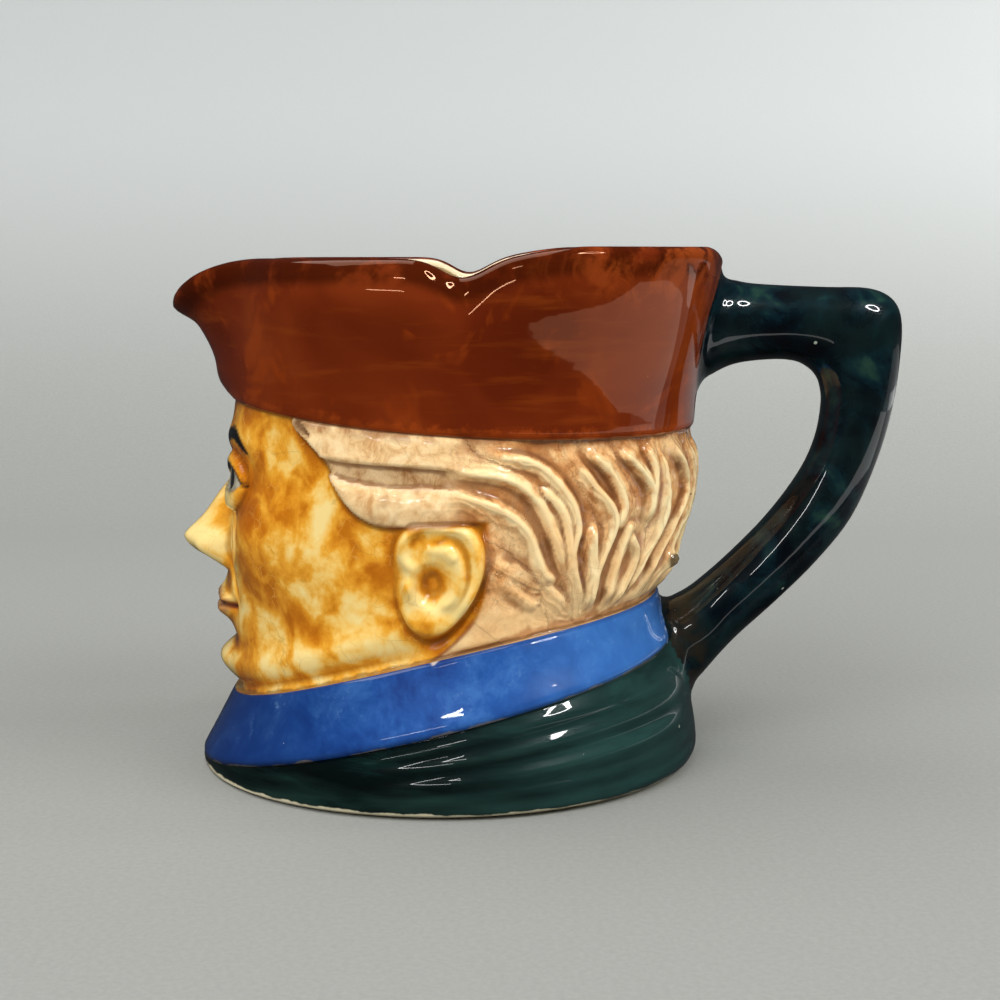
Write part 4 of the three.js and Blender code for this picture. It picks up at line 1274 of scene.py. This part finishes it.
def glow_card(name, points, faces, strength, fade=None):
    """A glowing sheet that is seen only as a reflection in the glaze."""
    card = stage_object(name, points, faces)
    for ray in ("camera", "diffuse", "transmission", "volume_scatter", "shadow"):
        setattr(card, "visible_" + ray, False)
    g = Graph(name)
    if fade:
        rise = g.times(g.axis(2, -0.2, 0.3), g.axis(2, 0.7, 0.35))
        strength = g.times(g.axis(1, *fade, 0.0, strength), rise)
    g.put({"Base Color": (0, 0, 0, 1), "Emission Color": (1, 1, 1, 1), "Emission Strength": strength}, g.shader)
    card.data.materials.append(g.material)


def facing(place, flat):
    """Flat points (across, up) set at a place in the air, turned towards the jug."""
    turn = (MIDDLE - place).to_track_quat("-Z", "Y")
    return [place + turn @ Vector((x, y, 0)) for x, y in flat]


def make_reflected_cards():
    """The lamps and bright sheets that the glaze reflects."""
    for name, z, outline, strength, fade in CARDS:
        glow_card(name, [(x, y, z) for x, y in outline], [range(len(outline))], strength, fade)
    steps = RING["steps"]
    turns = [2 * math.pi * i / steps for i in range(steps)]
    band = [(r * math.cos(t), r * math.sin(t)) for r in (RING["inner"], RING["outer"]) for t in turns]
    faces = [(i, (i + 1) % steps, steps + (i + 1) % steps, steps + i) for i in range(steps)]
    glow_card("ring_lamp", facing(from_azimuth(*RING["place"]), band), faces, RING["strength"])
    for name, place, w, h, strength in STRIPS:
        strip = [(-w, -h), (w, -h), (w, h), (-w, h)]
        glow_card(name, facing(from_azimuth(*place), strip), [range(4)], strength)


def aim(thing, direction):
    thing.rotation_euler = direction.to_track_quat("-Z", "Y").to_euler()
    bpy.context.collection.objects.link(thing)


def area_light(name, place, target, size, power, reflected=False, spread=180):
    data = bpy.data.lights.new(name, "AREA")
    data.shape = "RECTANGLE"
    data.spread = math.radians(spread)
    data.size, data.size_y = size
    data.energy = power
    light = bpy.data.objects.new(name, data)
    light.location = place
    light.visible_camera = False
    light.visible_glossy = reflected
    aim(light, Vector(target) - Vector(place))


def make_lights():
    area_light("top", (-0.1, -0.46, 1.1), (-0.1, -0.46, 0), (1.0, 1.2), 9.8, reflected=True)
    area_light("key", from_azimuth(52, 44, 0.9), MIDDLE, (0.6, 0.5), 2.6)
    area_light("fill_left", from_azimuth(-22, 38, 1.2), MIDDLE, (1.0, 0.8), 13.0)
    area_light("fill_right", from_azimuth(66, 34, 1.1), MIDDLE, (0.6, 0.6), 3.5)
    area_light("wall_right", (-0.15, 0.85, 0.3), (-0.55, 0.4, 0.16), (0.3, 0.2), 3.4, spread=130)
    world = bpy.data.worlds.new("studio")
    world.use_nodes = True
    background = world.node_tree.nodes["Background"].inputs
    background["Color"].default_value = (*WORLD["colour"], 1)
    background["Strength"].default_value = WORLD["strength"]
    bpy.context.scene.world = world


def make_camera():
    """The photograph's camera: on the jug's +X side, looking slightly down along -X."""
    data = bpy.data.cameras.new("camera")
    data.sensor_width = CAMERA["sensor"]
    data.lens = CAMERA["lens"]
    data.clip_start = 0.01
    camera = bpy.data.objects.new("camera", data)
    camera.location = CAMERA["place"]
    pitch = math.atan(CAMERA["slope"])
    aim(camera, Vector((-math.cos(pitch), 0, -math.sin(pitch))))
    bpy.context.scene.camera = camera


make_floor()
make_reflected_cards()
make_lights()
make_camera()

scene = bpy.context.scene
scene.view_settings.view_transform = "Standard"
